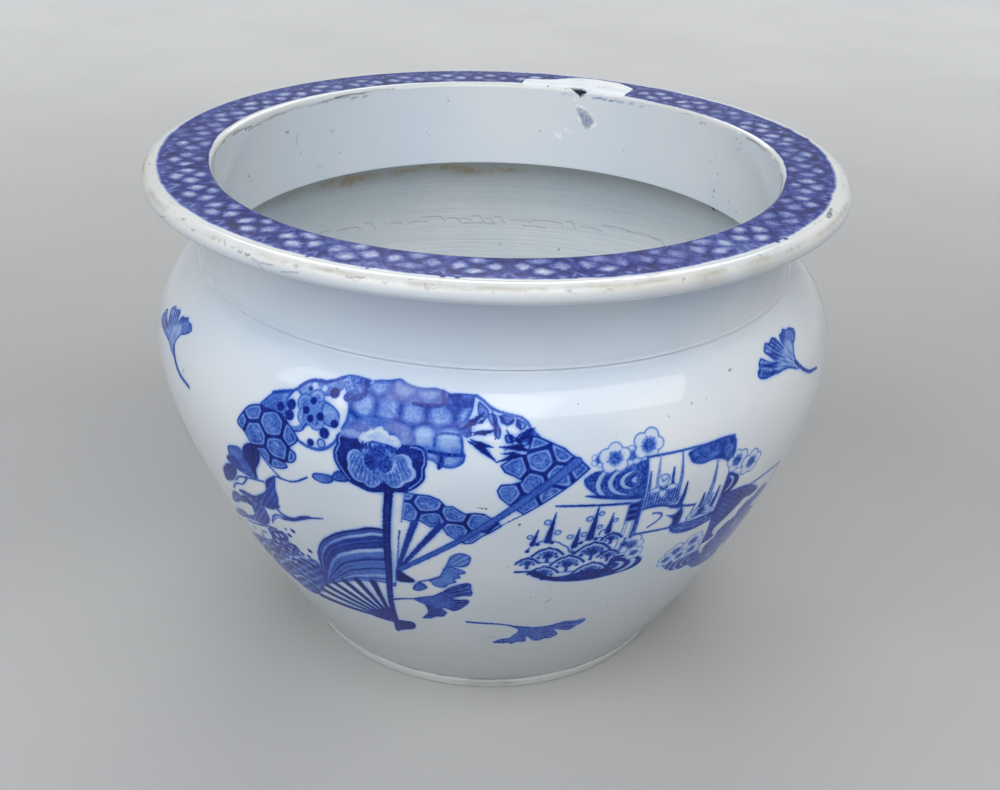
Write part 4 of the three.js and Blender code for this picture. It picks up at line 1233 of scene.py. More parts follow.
def painted_rim():
    """Ink, dark marks and stains over the rim: x runs round it, y from the bore out over the bead."""
    low = BAND_INNER - LIP_LENGTH
    far = low + np.hypot(*np.diff(rim_outline(), axis=0).T).sum()
    extent = (-RIM_LENGTH / 2, low, RIM_LENGTH, far - low, RIM_STEP)
    c, marks = (Canvas(*extent, seed, True) for seed in (11, 12))
    x, y = np.meshgrid(c.xs, c.ys)
    azimuth = np.degrees(x / RIM_MIDDLE)
    smudge, fade, drift = c.grain(15.0), c.grain(48.0), c.grain(9.0)
    pitch = RIM_LENGTH / ROSETTES
    p = x - math.radians(ROSETTE_AZIMUTH) * RIM_MIDDLE + 1.2 * drift + 0.5 * c.coarse
    p = (p + pitch / 2) % pitch - pitch / 2
    q = y - ROSETTE_RADIUS + 1.1 * np.roll(drift, 40, 1) + 0.5 * np.roll(c.coarse, 9, 1)
    tone = 0.76 + 0.11 * c.coarse + 0.12 * c.fine + 0.08 * smudge
    wipes = (0.5, 62, 1.6), (0.5, 121, 1.9), (0.4, 84, 2.3)
    wiped = sum(share * wiping(c, x, y, degrees, width) for share, degrees, width in wipes)
    # Pale petals of the round diaper: (along, up, width, height, strength)
    petals = (
        (0, 7.6, 6.6, 5.6, 0.66), (0, -7.6, 6.6, 5.0, 0.6), (10.2, 0.2, 6.0, 6.6, 0.66),
        (15.2, 12.0, 1.6, 5.0, 0.36), (pitch / 2, -11.5, 3.8, 2.4, 0.3), (8.0, 15.0, 3.6, 2.0, 0.36),
        (4.8, 3.6, 2.4, 2.4, 0.2), (4.6, -3.8, 2.4, 2.4, 0.2),
    )
    for along, up, wide, tall, strength in petals:
        for side in (1, -1) if along else (1,):
            lean = 0.5 * (q - up) if along > 15 and up > 0 else 0.0
            away = (np.abs(p - side * (along - lean)) / wide) ** 1.4 + (np.abs(q - up) / tall) ** 1.4
            pale = np.clip(1.22 - 1.1 * away, 0, 1)
            full = np.clip(0.78 + 0.34 * smudge + 0.3 * fade + 0.3 * c.coarse + 0.36 * wiped, 0.12, 1.06)
            tone = tone - strength * pale * full
    # Darker lines between the petals, on the spokes of each rosette and round it
    cross = np.minimum(np.abs(p * 0.72 - q), np.abs(p * 0.72 + q)) / 1.23
    spokes = np.abs(np.sin(3 * np.arctan2(q - 0.2, np.abs(p) - 10.4))) + 0.25 * c.coarse
    tone = tone + 0.14 * np.exp(-((cross / 0.9) ** 2)) * (np.abs(p) < 14)
    tone = tone + 0.12 * np.exp(-((spokes / 0.2) ** 2)) * (np.hypot(np.abs(p) - 10.4, q) < 5)
    ring = np.abs(np.hypot(p / 1.22, q) - 12.2)
    tone = tone + 0.1 * np.exp(-((ring / 1.1) ** 2))
    worn = np.clip(fade + 0.05, 0, 1) * 0.34
    tone = tone * (1 - worn) + 0.5 * worn + 0.17 * wiped
    inner = round_the_rim(PRINT_INNER, azimuth) + 0.2 * c.grain(3.0) + 0.3 * c.grain(14.0)
    outer = round_the_rim(PRINT_OUTER, azimuth) + 0.3 * c.grain(2.4) + 0.5 * c.grain(11.0)
    tone = tone + 0.16 * np.exp(-(((y - inner - 0.7) / 0.8) ** 2))
    cover = np.clip(0.5 + (y - inner) / 1.0, 0, 1) * np.clip(0.5 + (outer - y) / 2.4, 0, 1) ** 1.4
    c.ink = np.clip(tone, 0.06, 0.97) * cover
    for degrees, radius, size in (
        (-17.6, 214.8, 0.9), (-7, 214.4, 1.4), (-5, 214.6, 1.3), (-27, 214.2, 1.1), (-33.7, 204, 1.0),
        (46, 214.6, 1.2), (48, 215, 1.3), (104, 217.6, 1.6),
    ):
        c.dot(math.radians(degrees) * RIM_MIDDLE, radius, size, 0.9)
    # Wear on the bead: dashes of (azimuth, distance, length, width, tone)
    for degrees, radius, length, width, tone in (
        (-96, 226, 5, 0.8, 0.4), (-85.5, 231, 3.4, 0.9, 0.5), (-78.2, 219.4, 3.2, 1.0, 0.55),
        (-58, 218, 2.6, 0.7, 0.3), (-51.2, 222, 2.2, 0.9, 0.7), (-47.6, 224.6, 2.2, 0.8, 0.5),
        (-42.6, 223.8, 1.6, 0.7, 0.35), (-38.4, 224.6, 1.8, 0.7, 0.45), (-36.8, 225.4, 2.2, 0.9, 0.62),
        (-35.4, 225.6, 2.6, 1.0, 0.72), (-22.4, 223, 3.6, 0.6, 0.3), (-19, 224.6, 4.4, 0.8, 0.55),
        (-17.6, 223.9, 3.4, 0.9, 0.62), (-14.2, 224.8, 1.8, 0.7, 0.5), (-11, 221, 1.2, 0.6, 0.4),
        (-7.8, 224.9, 4, 0.6, 0.35), (-3.6, 224.6, 5, 0.6, 0.3), (15, 225, 3, 0.8, 0.42),
        (16.4, 219.4, 3.4, 0.7, 0.4), (18.2, 218.8, 2.8, 0.7, 0.4), (21.6, 218.6, 8, 0.9, 0.62),
        (29.5, 220.8, 2, 0.6, 0.4), (37, 218.4, 5, 0.6, 0.3), (44, 219, 4, 0.6, 0.3),
        (57, 216, 3, 0.8, 0.4), (58.6, 217, 2.6, 0.7, 0.4), (77, 218.6, 5, 0.6, 0.4),
        (84, 220, 4, 0.7, 0.45), (93, 221.4, 5, 0.7, 0.45), (125, 220, 3, 0.8, 0.5),
        (140, 223, 4, 0.8, 0.5), (-128, 222, 4, 0.8, 0.5), (-150, 223.5, 3, 0.8, 0.5),
        (172, 222, 4, 0.8, 0.5),
    ):
        x0, half = math.radians(degrees) * RIM_MIDDLE, length / 2
        path = [(x0 - half, radius), (x0, radius + 0.4), (x0 + half, radius - 0.2)]
        marks.stroke(path, width, tone, mottle=0.3)
    for degrees, radius, length, width in (
        (61.6, 218.4, 5, 2.6), (63, 217.4, 6, 2.2), (64.6, 216.8, 4, 1.8), (62.4, 219.2, 4, 1.4),
    ):
        x0, half = math.radians(degrees) * RIM_MIDDLE, length / 2
        marks.stroke([(x0 - half, radius + 0.8), (x0 + half, radius - 0.6)], width, 0.62, mottle=0.4)
    for path in (
        [(-34.6, 226.6), (-33.6, 227.6), (-33, 229.2), (-32.6, 231.4)],
        [(-33, 227.8), (-31.6, 227.4), (-30.6, 227.2)], [(-40.5, 222.4), (-40.2, 223.6), (-39.8, 224.8)],
        [(-21.5, 219.6), (-21.2, 221.2)], [(-29.4, 229.6), (-28, 228.4), (-26.6, 227.6)],
        [(-62, 235), (-59, 231), (-56, 227)],
    ):
        marks.stroke([(math.radians(a) * RIM_MIDDLE, r) for a, r in path], 0.6, 0.6, mottle=0.3)
    lip_marks(marks, place_on_rim)
    # Stains: a dirty line where the bead turns down, and warmer stretches at the sides
    ledge = np.exp(-(((y - 223.6 - 0.7 * drift) / 1.5) ** 2))
    stain = 0.5 * ledge * np.clip(0.55 + 0.6 * smudge + 0.35 * c.coarse, 0, 1)
    side = np.exp(-(((azimuth + 82) / 14) ** 2)) + 0.6 * np.exp(-(((azimuth - 34) / 16) ** 2))
    stain = stain + 0.7 * side * np.exp(-(((y - 228) / 5) ** 2)) * np.clip(0.7 + 0.5 * smudge, 0, 1)
    grime = np.clip(marks.grain(5.0) * marks.grain(1.6) - 0.28, 0, 1) * np.exp(-(((y - 224) / 5) ** 2))
    return c, c.ink * (1 - 0.7 * marks.ink), np.clip(marks.ink + 0.8 * grime, 0, 1), np.clip(stain, 0, 1)


# The chip in the lip, cut as a notch; its near-black mark is painted shade inside the notch
CHIP = [
    (17.2, 2.2), (18.5, 2.7), (19.5, 2.2), (21.5, 3.5), (21.2, 4.7), (20.6, 5.9), (20.1, 6.8),
    (20.9, 6.9), (20.8, 7.6), (20.1, 7.8), (19.9, 9.6), (19.6, 7.7), (19.1, 6.7), (18.6, 5.6),
    (18.0, 4.2),
]


def place_on_rim(degrees, down):
    """From an azimuth from the back and a distance below the flat top, to the rim picture's x and y."""
    turned = 180 - degrees if degrees > 0 else -180 - degrees
    return math.radians(turned) * RIM_MIDDLE, BAND_INNER - down


def place_on_neck(degrees, down):
    return math.radians(degrees) * NECK_MIDDLE, RIM_TOP - LIP_ROUND + LIP_LENGTH - down


def lip_marks(c, place):
    """Wear along the lip: (azimuth from the back, distance below the flange's flat top)."""
    # The chip, painted near black as the shade inside it
    c.fill([place(a, d) for a, d in CHIP], 1.0, smooth=False, mottle=0.03)
    for start, end, down, width, tone in (
        (-104, -92, 5.2, 1.6, 0.5), (-93, -84, 5.6, 1.2, 0.45), (-86, -76, 4.8, 1.1, 0.6),
        (-79, -73, 6.2, 1.2, 0.65), (-73, -70, 7.4, 1.4, 0.7), (-71.6, -66, 9.0, 0.9, 0.6),
        (-68, -62, 8.0, 0.8, 0.5), (-63, -57, 7.2, 1.0, 0.6), (-57, -52, 6.4, 0.7, 0.4),
        (-50, -44, 7.4, 0.9, 0.45), (-46, -38, 6.4, 1.1, 0.55), (-42, -34, 5.2, 1.3, 0.8),
        (-35, -26, 4.6, 0.8, 0.75), (-37.5, -36.4, 7.8, 1.4, 0.6), (-34.6, -33.6, 8.2, 1.0, 0.5),
        (8, 11, 3.6, 1.0, 0.4), (12.6, 14.6, 3.4, 1.6, 0.7), (15.2, 16.2, 3.6, 1.2, 0.5),
        (48, 50.5, 5.4, 0.8, 0.35), (53.6, 55.4, 8.2, 1.2, 0.35), (68, 71, 4.2, 0.7, 0.5),
        (70.4, 80, 4.8, 0.9, 0.92), (79, 84, 4.4, 0.8, 0.6), (86, 92, 4.8, 0.9, 0.6),
        (95, 103, 5.4, 1.2, 0.6),
    ):
        middle = (start + end) / 2
        path = [place(start, down + 0.3), place(middle, down - 0.3), place(end, down + 0.2)]
        c.stroke(path, width, tone, end_width=width * 0.6, mottle=0.3)


def along_outline(outline, y, proud):
    """Radius and height at a distance y along an outline, raised square to it."""
    step = np.hypot(*np.diff(outline, axis=0).T)
    run = np.concatenate([[0], np.cumsum(step)])
    slope = np.gradient(outline, axis=0)
    slope /= np.linalg.norm(slope, axis=1)[:, None]
    radius = np.interp(y, run, outline[:, 0] + proud * slope[:, 1])
    height = np.interp(y, run, outline[:, 1] - proud * slope[:, 0])
    return radius, height


def sheet(name, points, kept, values, material, slot, wrap=False):
    """A grid of points as a mesh of its kept cells; values are given on the grid.

    With wrap the last column meets the first, and the faces turn outwards on a rim.
    """
    rows, columns = points.shape[:2]
    filled_rows, filled_columns = (np.flatnonzero(kept.any(axis)) for axis in (1, 0))
    across = slice(filled_columns[0], filled_columns[-1] + 1)
    upright = slice(filled_rows[0], filled_rows[-1] + 1)
    texture = np.zeros(kept.shape + (4, 2))
    texture[upright, across] = folded_map(
        upright.stop - upright.start, across.stop - across.start, RIM_STRIPS if wrap else 1,
    )
    texture = texture[kept]
    index = np.arange(rows * columns).reshape(rows, columns)
    if wrap:
        index = np.concatenate([index, index[:, :1]], 1)
    quads = grid_faces(index)[kept]
    if wrap:
        quads, texture = quads[:, ::-1], texture[:, ::-1]
    used, faces = np.unique(quads, return_inverse=True)
    faces = faces.reshape(-1, 4)
    flat = {key: numbers.reshape(-1)[used] for key, numbers in values.items()}
    return mesh_object(name, points.reshape(-1, 3)[used], faces, material, slot, flat, texture)


def cells_with(ink, level=0.012):
    """The cells that have a point with more ink than the level."""
    marked = ink > level
    return marked[:-1, :-1] | marked[:-1, 1:] | marked[1:, 1:] | marked[1:, :-1]


def round_points(radius, height, angles, back=False):
    """Grid of points from rows of (radius, height) and angles from the front, or the back, towards +X."""
    radius, height = np.asarray(radius)[:, None], np.asarray(height)[:, None]
    side = 1 if back else -1
    return np.stack([radius * np.sin(angles), side * radius * np.cos(angles), height + 0 * angles], 2)


def blurred(values, reach):
    """Box blur of three passes, for the cobalt that has run into the glaze round a print."""
    cells = int(round(reach / PRINT_STEP))
    for axis in (0, 1):
        for _ in range(3):
            values = np.mean([np.roll(values, shift, axis) for shift in range(-cells, cells + 1)], axis=0)
    return values


# Transfers that were laid a little off their place by hand: (along, up, lean)
HAND_LAID = {("ginkgo_sprig", 3): (11.0, -10.5, 0.07)}
SPRIG_MIDDLE = 205.0
PRINT_PROUD = 0.06


def add_body_prints(material):
    xs, ys, ink, owner, tint = painted_body()
    ink = np.maximum(ink, 0.32 * blurred(ink, 0.9) + 0.16 * blurred(ink, 2.4))
    ink, owner, tint = (np.concatenate([grid, grid[:, :1]], 1) for grid in (ink, owner, tint))
    for _ in range(6):
        for shift, axis in ((1, 0), (-1, 0), (1, 1), (-1, 1)):
            owner = np.where(owner < 0, np.roll(owner, shift, axis), owner)
    xs = np.append(xs, xs[-1] + PRINT_STEP)
    kept = cells_with(ink)
    held = np.maximum.reduce([owner[:-1, :-1], owner[:-1, 1:], owner[1:, :-1], owner[1:, 1:]])
    body = body_outline()
    for turn in range(3):
        for number, name in enumerate(MOTIF_NAMES):
            mine = kept & (held == number)
            along, up, lean = HAND_LAID.get((name, turn + 1), (0, 0, 0))
            y = ys[:, None] + up + lean * (xs - SPRIG_MIDDLE)
            radius, height = along_outline(body, y, PRINT_PROUD)
            angles = (xs + along) / PRINT_RADIUS + 2 * math.pi / 3 * turn
            points = np.stack([radius * np.sin(angles), -radius * np.cos(angles), height], 2)
            values = {"ink": ink, "tint": tint}
            sheet(f"print_{name}_{turn + 1}", points, mine, values, material, "cobalt_print")


def add_rim(band, bead):
    """The bead and the printed flange with its lip, as two pieces that meet on the bead."""
    c, ink, marks, stains = painted_rim()
    notch = Canvas(c.xs[0], c.ys[0], RIM_LENGTH, c.ys[-1] - c.ys[0], RIM_STEP, 1)
    notch.fill([place_on_rim(*corner) for corner in CHIP], 1.0, smooth=False, mottle=0.0)
    outline = rim_outline()
    radius, height = along_outline(outline, c.ys - c.ys[0], 0.0)
    angles = c.xs / RIM_MIDDLE
    points = round_points(radius, height, angles)
    inward = np.stack([np.sin(angles), -np.cos(angles), np.full(len(angles), -0.8)], 1)
    points = points + 1.3 * notch.ink[:, :, None] * inward
    split = int(np.searchsorted(c.ys, BEAD_START))
    values = {"ink": ink, "mark": marks, "stain": stains}
    for name, rows, material, slot in (
        ("rim_band", slice(0, split + 1), band, "cobalt_print"),
        ("rim_bead_glaze", slice(split, None), bead, "cream_glaze"),
    ):
        everywhere = np.ones((len(c.ys[rows]) - 1, len(c.xs)), bool)
        held = {key: numbers[rows] for key, numbers in values.items()}
        yield sheet(name, points[rows], everywhere, held, material, slot, wrap=True)


INSIDE_MIDDLE = 205.0


def add_inside_marks(material):
    """Rust stains, hairline cracks and the painted shade of gaps on the unglazed inside, opposite the
    front.
    """
    low, high = 150, 268.4
    c, stains, pale = (Canvas(-250, low, 500, high - low, 0.55, seed) for seed in (5, 6, 8))
    around = math.radians(1) * INSIDE_MIDDLE
    # Cracks along the turning lines, each stepping down at its end: (start, end, height, drop)
    for start, end, height, drop in (
        (-41, -38, 212.5, 0), (-37, -31, 211, 2), (-30, -27.5, 212.5, 5), (-24, -21, 209.5, 1),
        (-20, -15.5, 209, 0.5), (-17, -11.5, 212.4, 4.5), (-11, -8, 210.4, 3), (-8.4, -5.6, 209.6, 1),
        (-5.6, -2.8, 212, 5), (-2.4, -0.4, 210, 3), (-0.4, 1.8, 211.6, 4.6), (3, 8, 209.4, 0.6),
        (8, 15, 210.4, 1), (15.5, 18, 212, 5), (19, 24, 209.6, 0.8), (24, 31, 213.6, 0.6),
        (30, 37.5, 213, 1.4), (36, 39.4, 212.2, 4), (-8, 0, 206, 0.5), (6, 11, 205, 0.6),
    ):
        middle = ((start + end) / 2, height + 0.5)
        bends = [(start, height), middle, (end - 0.9, height), (end, height - drop)]
        path = [(a * around, h) for a, h in bends]
        c.stroke(path, 0.65, 0.54, smooth=False, mottle=0.45)
    for degrees, height, radius, tone in (
        (54.2, 258, 1.7, 0.95), (53.2, 259.4, 1.0, 0.7), (60, 257, 1.4, 0.9), (1, 189, 0.7, 0.5),
        (14.6, 188.6, 1.0, 0.6), (-33, 231, 0.6, 0.4), (27, 228, 0.6, 0.4),
    ):
        c.dot(degrees * around, height, radius, tone)
    # Gaps just under the glaze's edge: short dark strokes of painted shade
    for start, end, height in (
        (-35.4, -28.4, 267.6), (60, 62.4, 266.8), (66.6, 68.4, 266.6), (40, 46, 267.8),
    ):
        c.stroke([(start * around, height), (end * around, height + 0.3)], 1.3, 0.85, mottle=0.2)
    # Pale scratches along the turning lines
    for _ in range(150):
        x0 = pale.rng.normal(-10, 95)
        y0 = pale.rng.uniform(184, 247)
        reach = pale.rng.uniform(3, 15)
        pale.stroke([(x0, y0), (x0 + reach, y0)], 0.5, pale.rng.uniform(0.3, 0.9), mottle=0.2)
    x, y = np.meshgrid(stains.xs, stains.ys)
    patchy = np.clip(0.25 + 0.9 * stains.grain(6.0) + 0.7 * stains.coarse + 0.3 * stains.fine, 0, 1)
    stain = np.zeros(x.shape)
    for degrees, height, wide, tall, strength in (
        (-50, 255.5, 4.5, 4, 0.4), (-40, 256, 3, 4.5, 0.5), (-35, 256, 5, 5.5, 1.0),
        (-30.5, 254, 3, 4, 0.8), (-22, 258, 3.5, 3.5, 0.55), (-15, 262, 3.5, 2.6, 0.6),
        (-10.5, 260, 3.2, 3.4, 0.9), (-5.5, 255.5, 3.2, 3.6, 1.0), (-1.5, 259, 1.6, 2.4, 0.4),
        (3, 256, 2.6, 2.6, 0.7), (14, 259, 4, 2, 0.2), (-58, 254, 4, 4, 0.3),
    ):
        away = ((x / around - degrees) / (1.25 * wide)) ** 2 + ((y - height) / (1.2 * tall)) ** 2
        stain = np.maximum(stain, strength * np.exp(-away))
    stain = np.clip(1.15 * stain * (0.35 + 0.8 * patchy), 0, 0.8)
    outline = inside_outline()[:160]
    radius = np.interp(c.ys, outline[::-1, 1], outline[::-1, 0]) - 0.05
    points = round_points(radius, c.ys, c.xs / INSIDE_MIDDLE, back=True)
    kept = cells_with(np.maximum.reduce([c.ink, stain, pale.ink]))
    values = {"cracks_and_gap_shade": c.ink, "stain": stain, "pale": pale.ink}
    sheet("inside_marks", points, kept, values, material, "bare_clay")


def add_neck_marks(material):
    """A blotch below the chip, specks on the bore and wear along the foot of the lip."""
    low, top = NECK_SEAT, RIM_TOP - LIP_ROUND
    c, pale, blue = (Canvas(-332, low, 664, top - low, 0.5, seed) for seed in (9, 10, 12))
    lip_marks(c, place_on_neck)
    halo = [(18.6, 15.4), (20.2, 14.6), (21.4, 17), (23.2, 21), (24.2, 27), (23.2, 31.6), (21, 30.4),
            (19.6, 24)]
    pale.fill([place_on_neck(*p) for p in halo], 0.3, mottle=0.9)
    # The blotch below the chip, made of streaks that run down to the right: (start, end, width, mark, blue)
    for start, end, width, tone, cobalt_tone in (
        ((19.5, 18.2), (20.9, 24), 4.4, 0.24, 0.06), ((20.2, 20), (21.8, 28.5), 5.6, 0.3, 0.07),
        ((21.2, 20.6), (22.8, 26.5), 5.2, 0.27, 0.06), ((21.0, 23), (22.0, 30), 5.0, 0.32, 0.06),
        ((20.6, 21.5), (21.0, 25.6), 1.8, 0.46, 0.08), ((21.6, 22.6), (21.9, 26.4), 1.6, 0.52, 0.08),
        ((22.4, 24), (22.9, 27.4), 2.0, 0.4, 0.07), ((21.1, 29), (22.5, 30.2), 2.6, 0.46, 0.06),
        ((19.8, 20.6), (20.3, 23.4), 1.4, 0.4, 0.07),
    ):
        path = [place_on_neck(*start), place_on_neck(*end)]
        c.stroke(path, width, tone, mottle=0.08)
        blue.stroke(path, width, 1.5 * cobalt_tone, mottle=0.0)
    for path, width in (
        (((18.8, 17.6), (19.4, 15.6), (20.4, 16.2)), 1.6), (((19.0, 19.4), (19.6, 21.2)), 1.5),
        (((20.3, 16.8), (20.9, 18.8)), 1.2), (((22.0, 31.4), (23.2, 31), (24.4, 28.6)), 1.5),
        (((18.2, 9.6), (18.6, 11.6)), 1.3), (((21.5, 30.8), (20.7, 28.8)), 1.0),
        (((19.6, 24.6), (20.1, 27)), 0.9),
    ):
        pale.stroke([place_on_neck(*p) for p in path], width, 1.0, mottle=0.2)
    for degrees, down, radius, tone in (
        (15, 41, 2.0, 1.0), (14.2, 39.2, 1.4, 0.9), (15.6, 38.2, 0.9, 0.9), (17.8, 36.6, 0.9, 0.8),
        (13.8, 42.6, 0.8, 0.8), (16.6, 35.4, 1.2, 0.8), (17.1, 34.6, 0.8, 0.7), (22.4, 30.6, 1.3, 0.9),
        (19.6, 16.4, 1.4, 0.9), (20.2, 19.6, 1.0, 0.8),
    ):
        pale.dot(*place_on_neck(degrees, down), radius, tone)
    for degrees, down, radius, tone in (
        (-57, 22, 1.1, 0.62), (-57.6, 21.4, 0.7, 0.5), (-43.4, 30, 0.9, 0.45), (-42.6, 29.6, 0.5, 0.4),
        (-73, 40.4, 0.9, 0.5), (-72.4, 42, 0.7, 0.45), (-72, 45.4, 0.8, 0.4), (-53, 26.4, 0.7, 0.3),
        (-53, 40.6, 0.8, 0.3), (-41.4, 47.4, 0.8, 0.3), (-17.4, 43, 0.6, 0.35), (-18, 40, 0.5, 0.3),
        (-12.8, 14, 0.5, 0.45), (-12.6, 16.4, 0.6, 0.5), (-9.6, 32, 0.5, 0.25), (10.2, 38.4, 0.8, 0.35),
        (32, 44.4, 0.6, 0.35), (53.4, 8.6, 1.1, 0.3), (55, 8.0, 0.9, 0.3), (66.6, 9, 0.9, 0.35),
        (68.6, 10.4, 1.0, 0.35), (67.6, 16, 0.9, 0.3), (68.4, 14, 0.7, 0.3), (60, 29, 0.6, 0.3),
        (61, 40, 0.8, 0.35), (60.4, 53.4, 1.1, 0.45), (60.2, 58, 0.9, 0.4), (61.6, 46, 0.6, 0.3),
        (70, 59, 1.0, 0.35), (58, 33, 0.7, 0.3), (66.4, 55.6, 0.8, 0.35), (-66, 12, 0.7, 0.3),
        (-84, 14, 0.9, 0.3), (-49, 47, 0.7, 0.25), (-31, 41, 0.6, 0.25),
    ):
        c.dot(*place_on_neck(degrees, down), radius, tone)
    c.stroke([place_on_neck(-54.2, 25), place_on_neck(-54.1, 34)], 0.7, 0.42)
    c.stroke([place_on_neck(-48, 54), place_on_neck(-46.4, 55)], 0.7, 0.3)
    for degrees, length, tone in (
        (15.8, 3.6, 0.06), (17.4, 2.6, 0.05), (23.4, 2.8, 0.1), (24.7, 3.6, 0.12), (26.0, 3.2, 0.1),
        (27.9, 3.4, 0.12), (28.8, 2.2, 0.09), (30.2, 4.4, 0.08), (33.2, 2.8, 0.1), (36, 2.2, 0.08),
        (-36.2, 3, 0.08), (-33.8, 2.4, 0.08),
    ):
        x, y = place_on_neck(degrees, 8.0 + 0.3 * math.sin(3 * degrees))
        for canvas, share, width in ((blue, 0.9, 2.2), (c, 2.8, 1.4)):
            canvas.stroke([(x - length / 2, y), (x + length / 2, y + 0.4)], width, share * tone)
    outline = neck_outline()
    radius = np.interp(c.ys, outline[::-1, 1], outline[::-1, 0]) - 0.05
    points = round_points(radius, c.ys, c.xs / NECK_MIDDLE, back=True)
    kept = cells_with(np.maximum.reduce([c.ink, pale.ink, blue.ink]))
    values = {"mark": c.ink, "pale": pale.ink, "ink": blue.ink}
    sheet("neck_marks", points, kept, values, material, "white_glaze")


def add_body_marks(material):
    """Iron specks and pin holes on the front and the shoulder."""
    c = Canvas(-12, 70, 200, 210, 0.25, 21)
    for speck in (
        (-5.6, 212.9, 0.8, 0.9), (-4.4, 212.7, 0.9, 1.0), (-3.0, 212.9, 0.7, 0.85),
        (-1.2, 212.7, 0.8, 0.95), (17.9, 201.1, 0.9, 0.9), (6.4, 206.2, 0.4, 0.5),
        (50.1, 272.5, 0.6, 0.5), (120.8, 263.0, 0.7, 0.6), (104.1, 259.0, 0.6, 0.5),
        (131.6, 263.0, 0.5, 0.4), (156.1, 274.0, 0.9, 0.7), (157.8, 274.4, 0.6, 0.6),
        (167.9, 248.0, 0.5, 0.5), (70.7, 254.5, 0.4, 0.5), (58.9, 253.5, 0.4, 0.4),
        (30.4, 130.0, 0.8, 0.5), (13.7, 163.5, 0.7, 0.5), (93.3, 104.0, 0.7, 0.6),
        (19.6, 126.0, 0.9, 0.25), (42.2, 135.5, 0.7, 0.35),
    ):
        c.dot(*speck)
    for path, width, tone in (
        (((41, 121.6), (43, 123.6), (45.4, 125.4)), 0.9, 0.6), (((40.6, 141), (44, 142.6)), 0.8, 0.4),
        (((4, 79), (9, 77.6)), 0.9, 0.4), (((9.6, 74.4), (13, 72.6)), 0.9, 0.4),
    ):
        c.stroke(path, width, tone, mottle=0.2)
    radius, height = along_outline(body_outline(), c.ys, 0.05)
    points = round_points(radius, height, c.xs / PRINT_RADIUS)
    still = np.zeros(c.ink.shape)
    values = {"mark": c.ink, "pale": still, "ink": still}
    sheet("body_specks", points, cells_with(c.ink), values, material, "white_glaze")


# The repair's piece of the rim: azimuth from the front and its span in degrees, reach and coat in mm
REPAIR_START = 147.0
REPAIR_SPAN = 29.5
REPAIR_REACH = 36.0
REPAIR_COAT = 0.13


def add_repair(material):
    """The white filling: a thick ragged coat over the band, the lip and the top of the bore."""
    degree = math.radians(1) * RIM_MIDDLE
    top = RIM_TOP - BAND_DROP
    profile = joined(line((BAND_END, top), (BAND_INNER, top), 40), lip_outline())
    c, mark = (Canvas(0, 0, REPAIR_SPAN * degree, REPAIR_REACH, 0.4, 3) for _ in range(2))
    edge = [
        (149.4, 34.4), (149.2, 30), (149.6, 17.5), (150.4, 11.3), (152.4, 7), (154.6, 2.8), (157.4, 1.8),
        (161, 1.4), (163.5, 2.8), (165.3, 7.5), (167.1, 11.3), (168.9, 15.5), (171.8, 16.8),
        (173.9, 18.3), (174.5, 25), (174.7, 31.6), (173.2, 34.4), (171, 35.2), (168.4, 34.2),
        (165.8, 34.8), (163.2, 33.2), (162.8, 32.2), (159.4, 32), (158.8, 33.6), (156.6, 34.6),
        (153.6, 35.4), (151.4, 35),
    ]
    path = smooth_path([((a - REPAIR_START) * degree, s) for a, s in edge], True)
    jitter = np.random.default_rng(2).normal(0, 0.28, path.shape)
    where, _, _, away = c.area((path + jitter).tolist(), smooth=False)
    depth = np.zeros(c.ink.shape)
    depth[where] = np.clip(-away / 0.9, -0.4, 1)
    for a, s, radius in (
        (157.0, 21.5, 0.9), (155.8, 21, 0.6), (168.4, 33.2, 1.0), (153, 12, 0.6), (168, 26, 0.5),
    ):
        mark.dot((a - REPAIR_START) * degree, s, radius, 0.6)
    angles = math.radians(REPAIR_START) + c.xs / RIM_MIDDLE
    low, top = (round_points(*along_outline(profile, c.ys, coat), angles) for coat in (0.0, REPAIR_COAT))
    points = low + (top - low) * depth[:, :, None]
    kept = cells_with(depth, 0.0)
    sheet("rim_repair", points, kept, {"mark": mark.ink}, material, "white_filler")


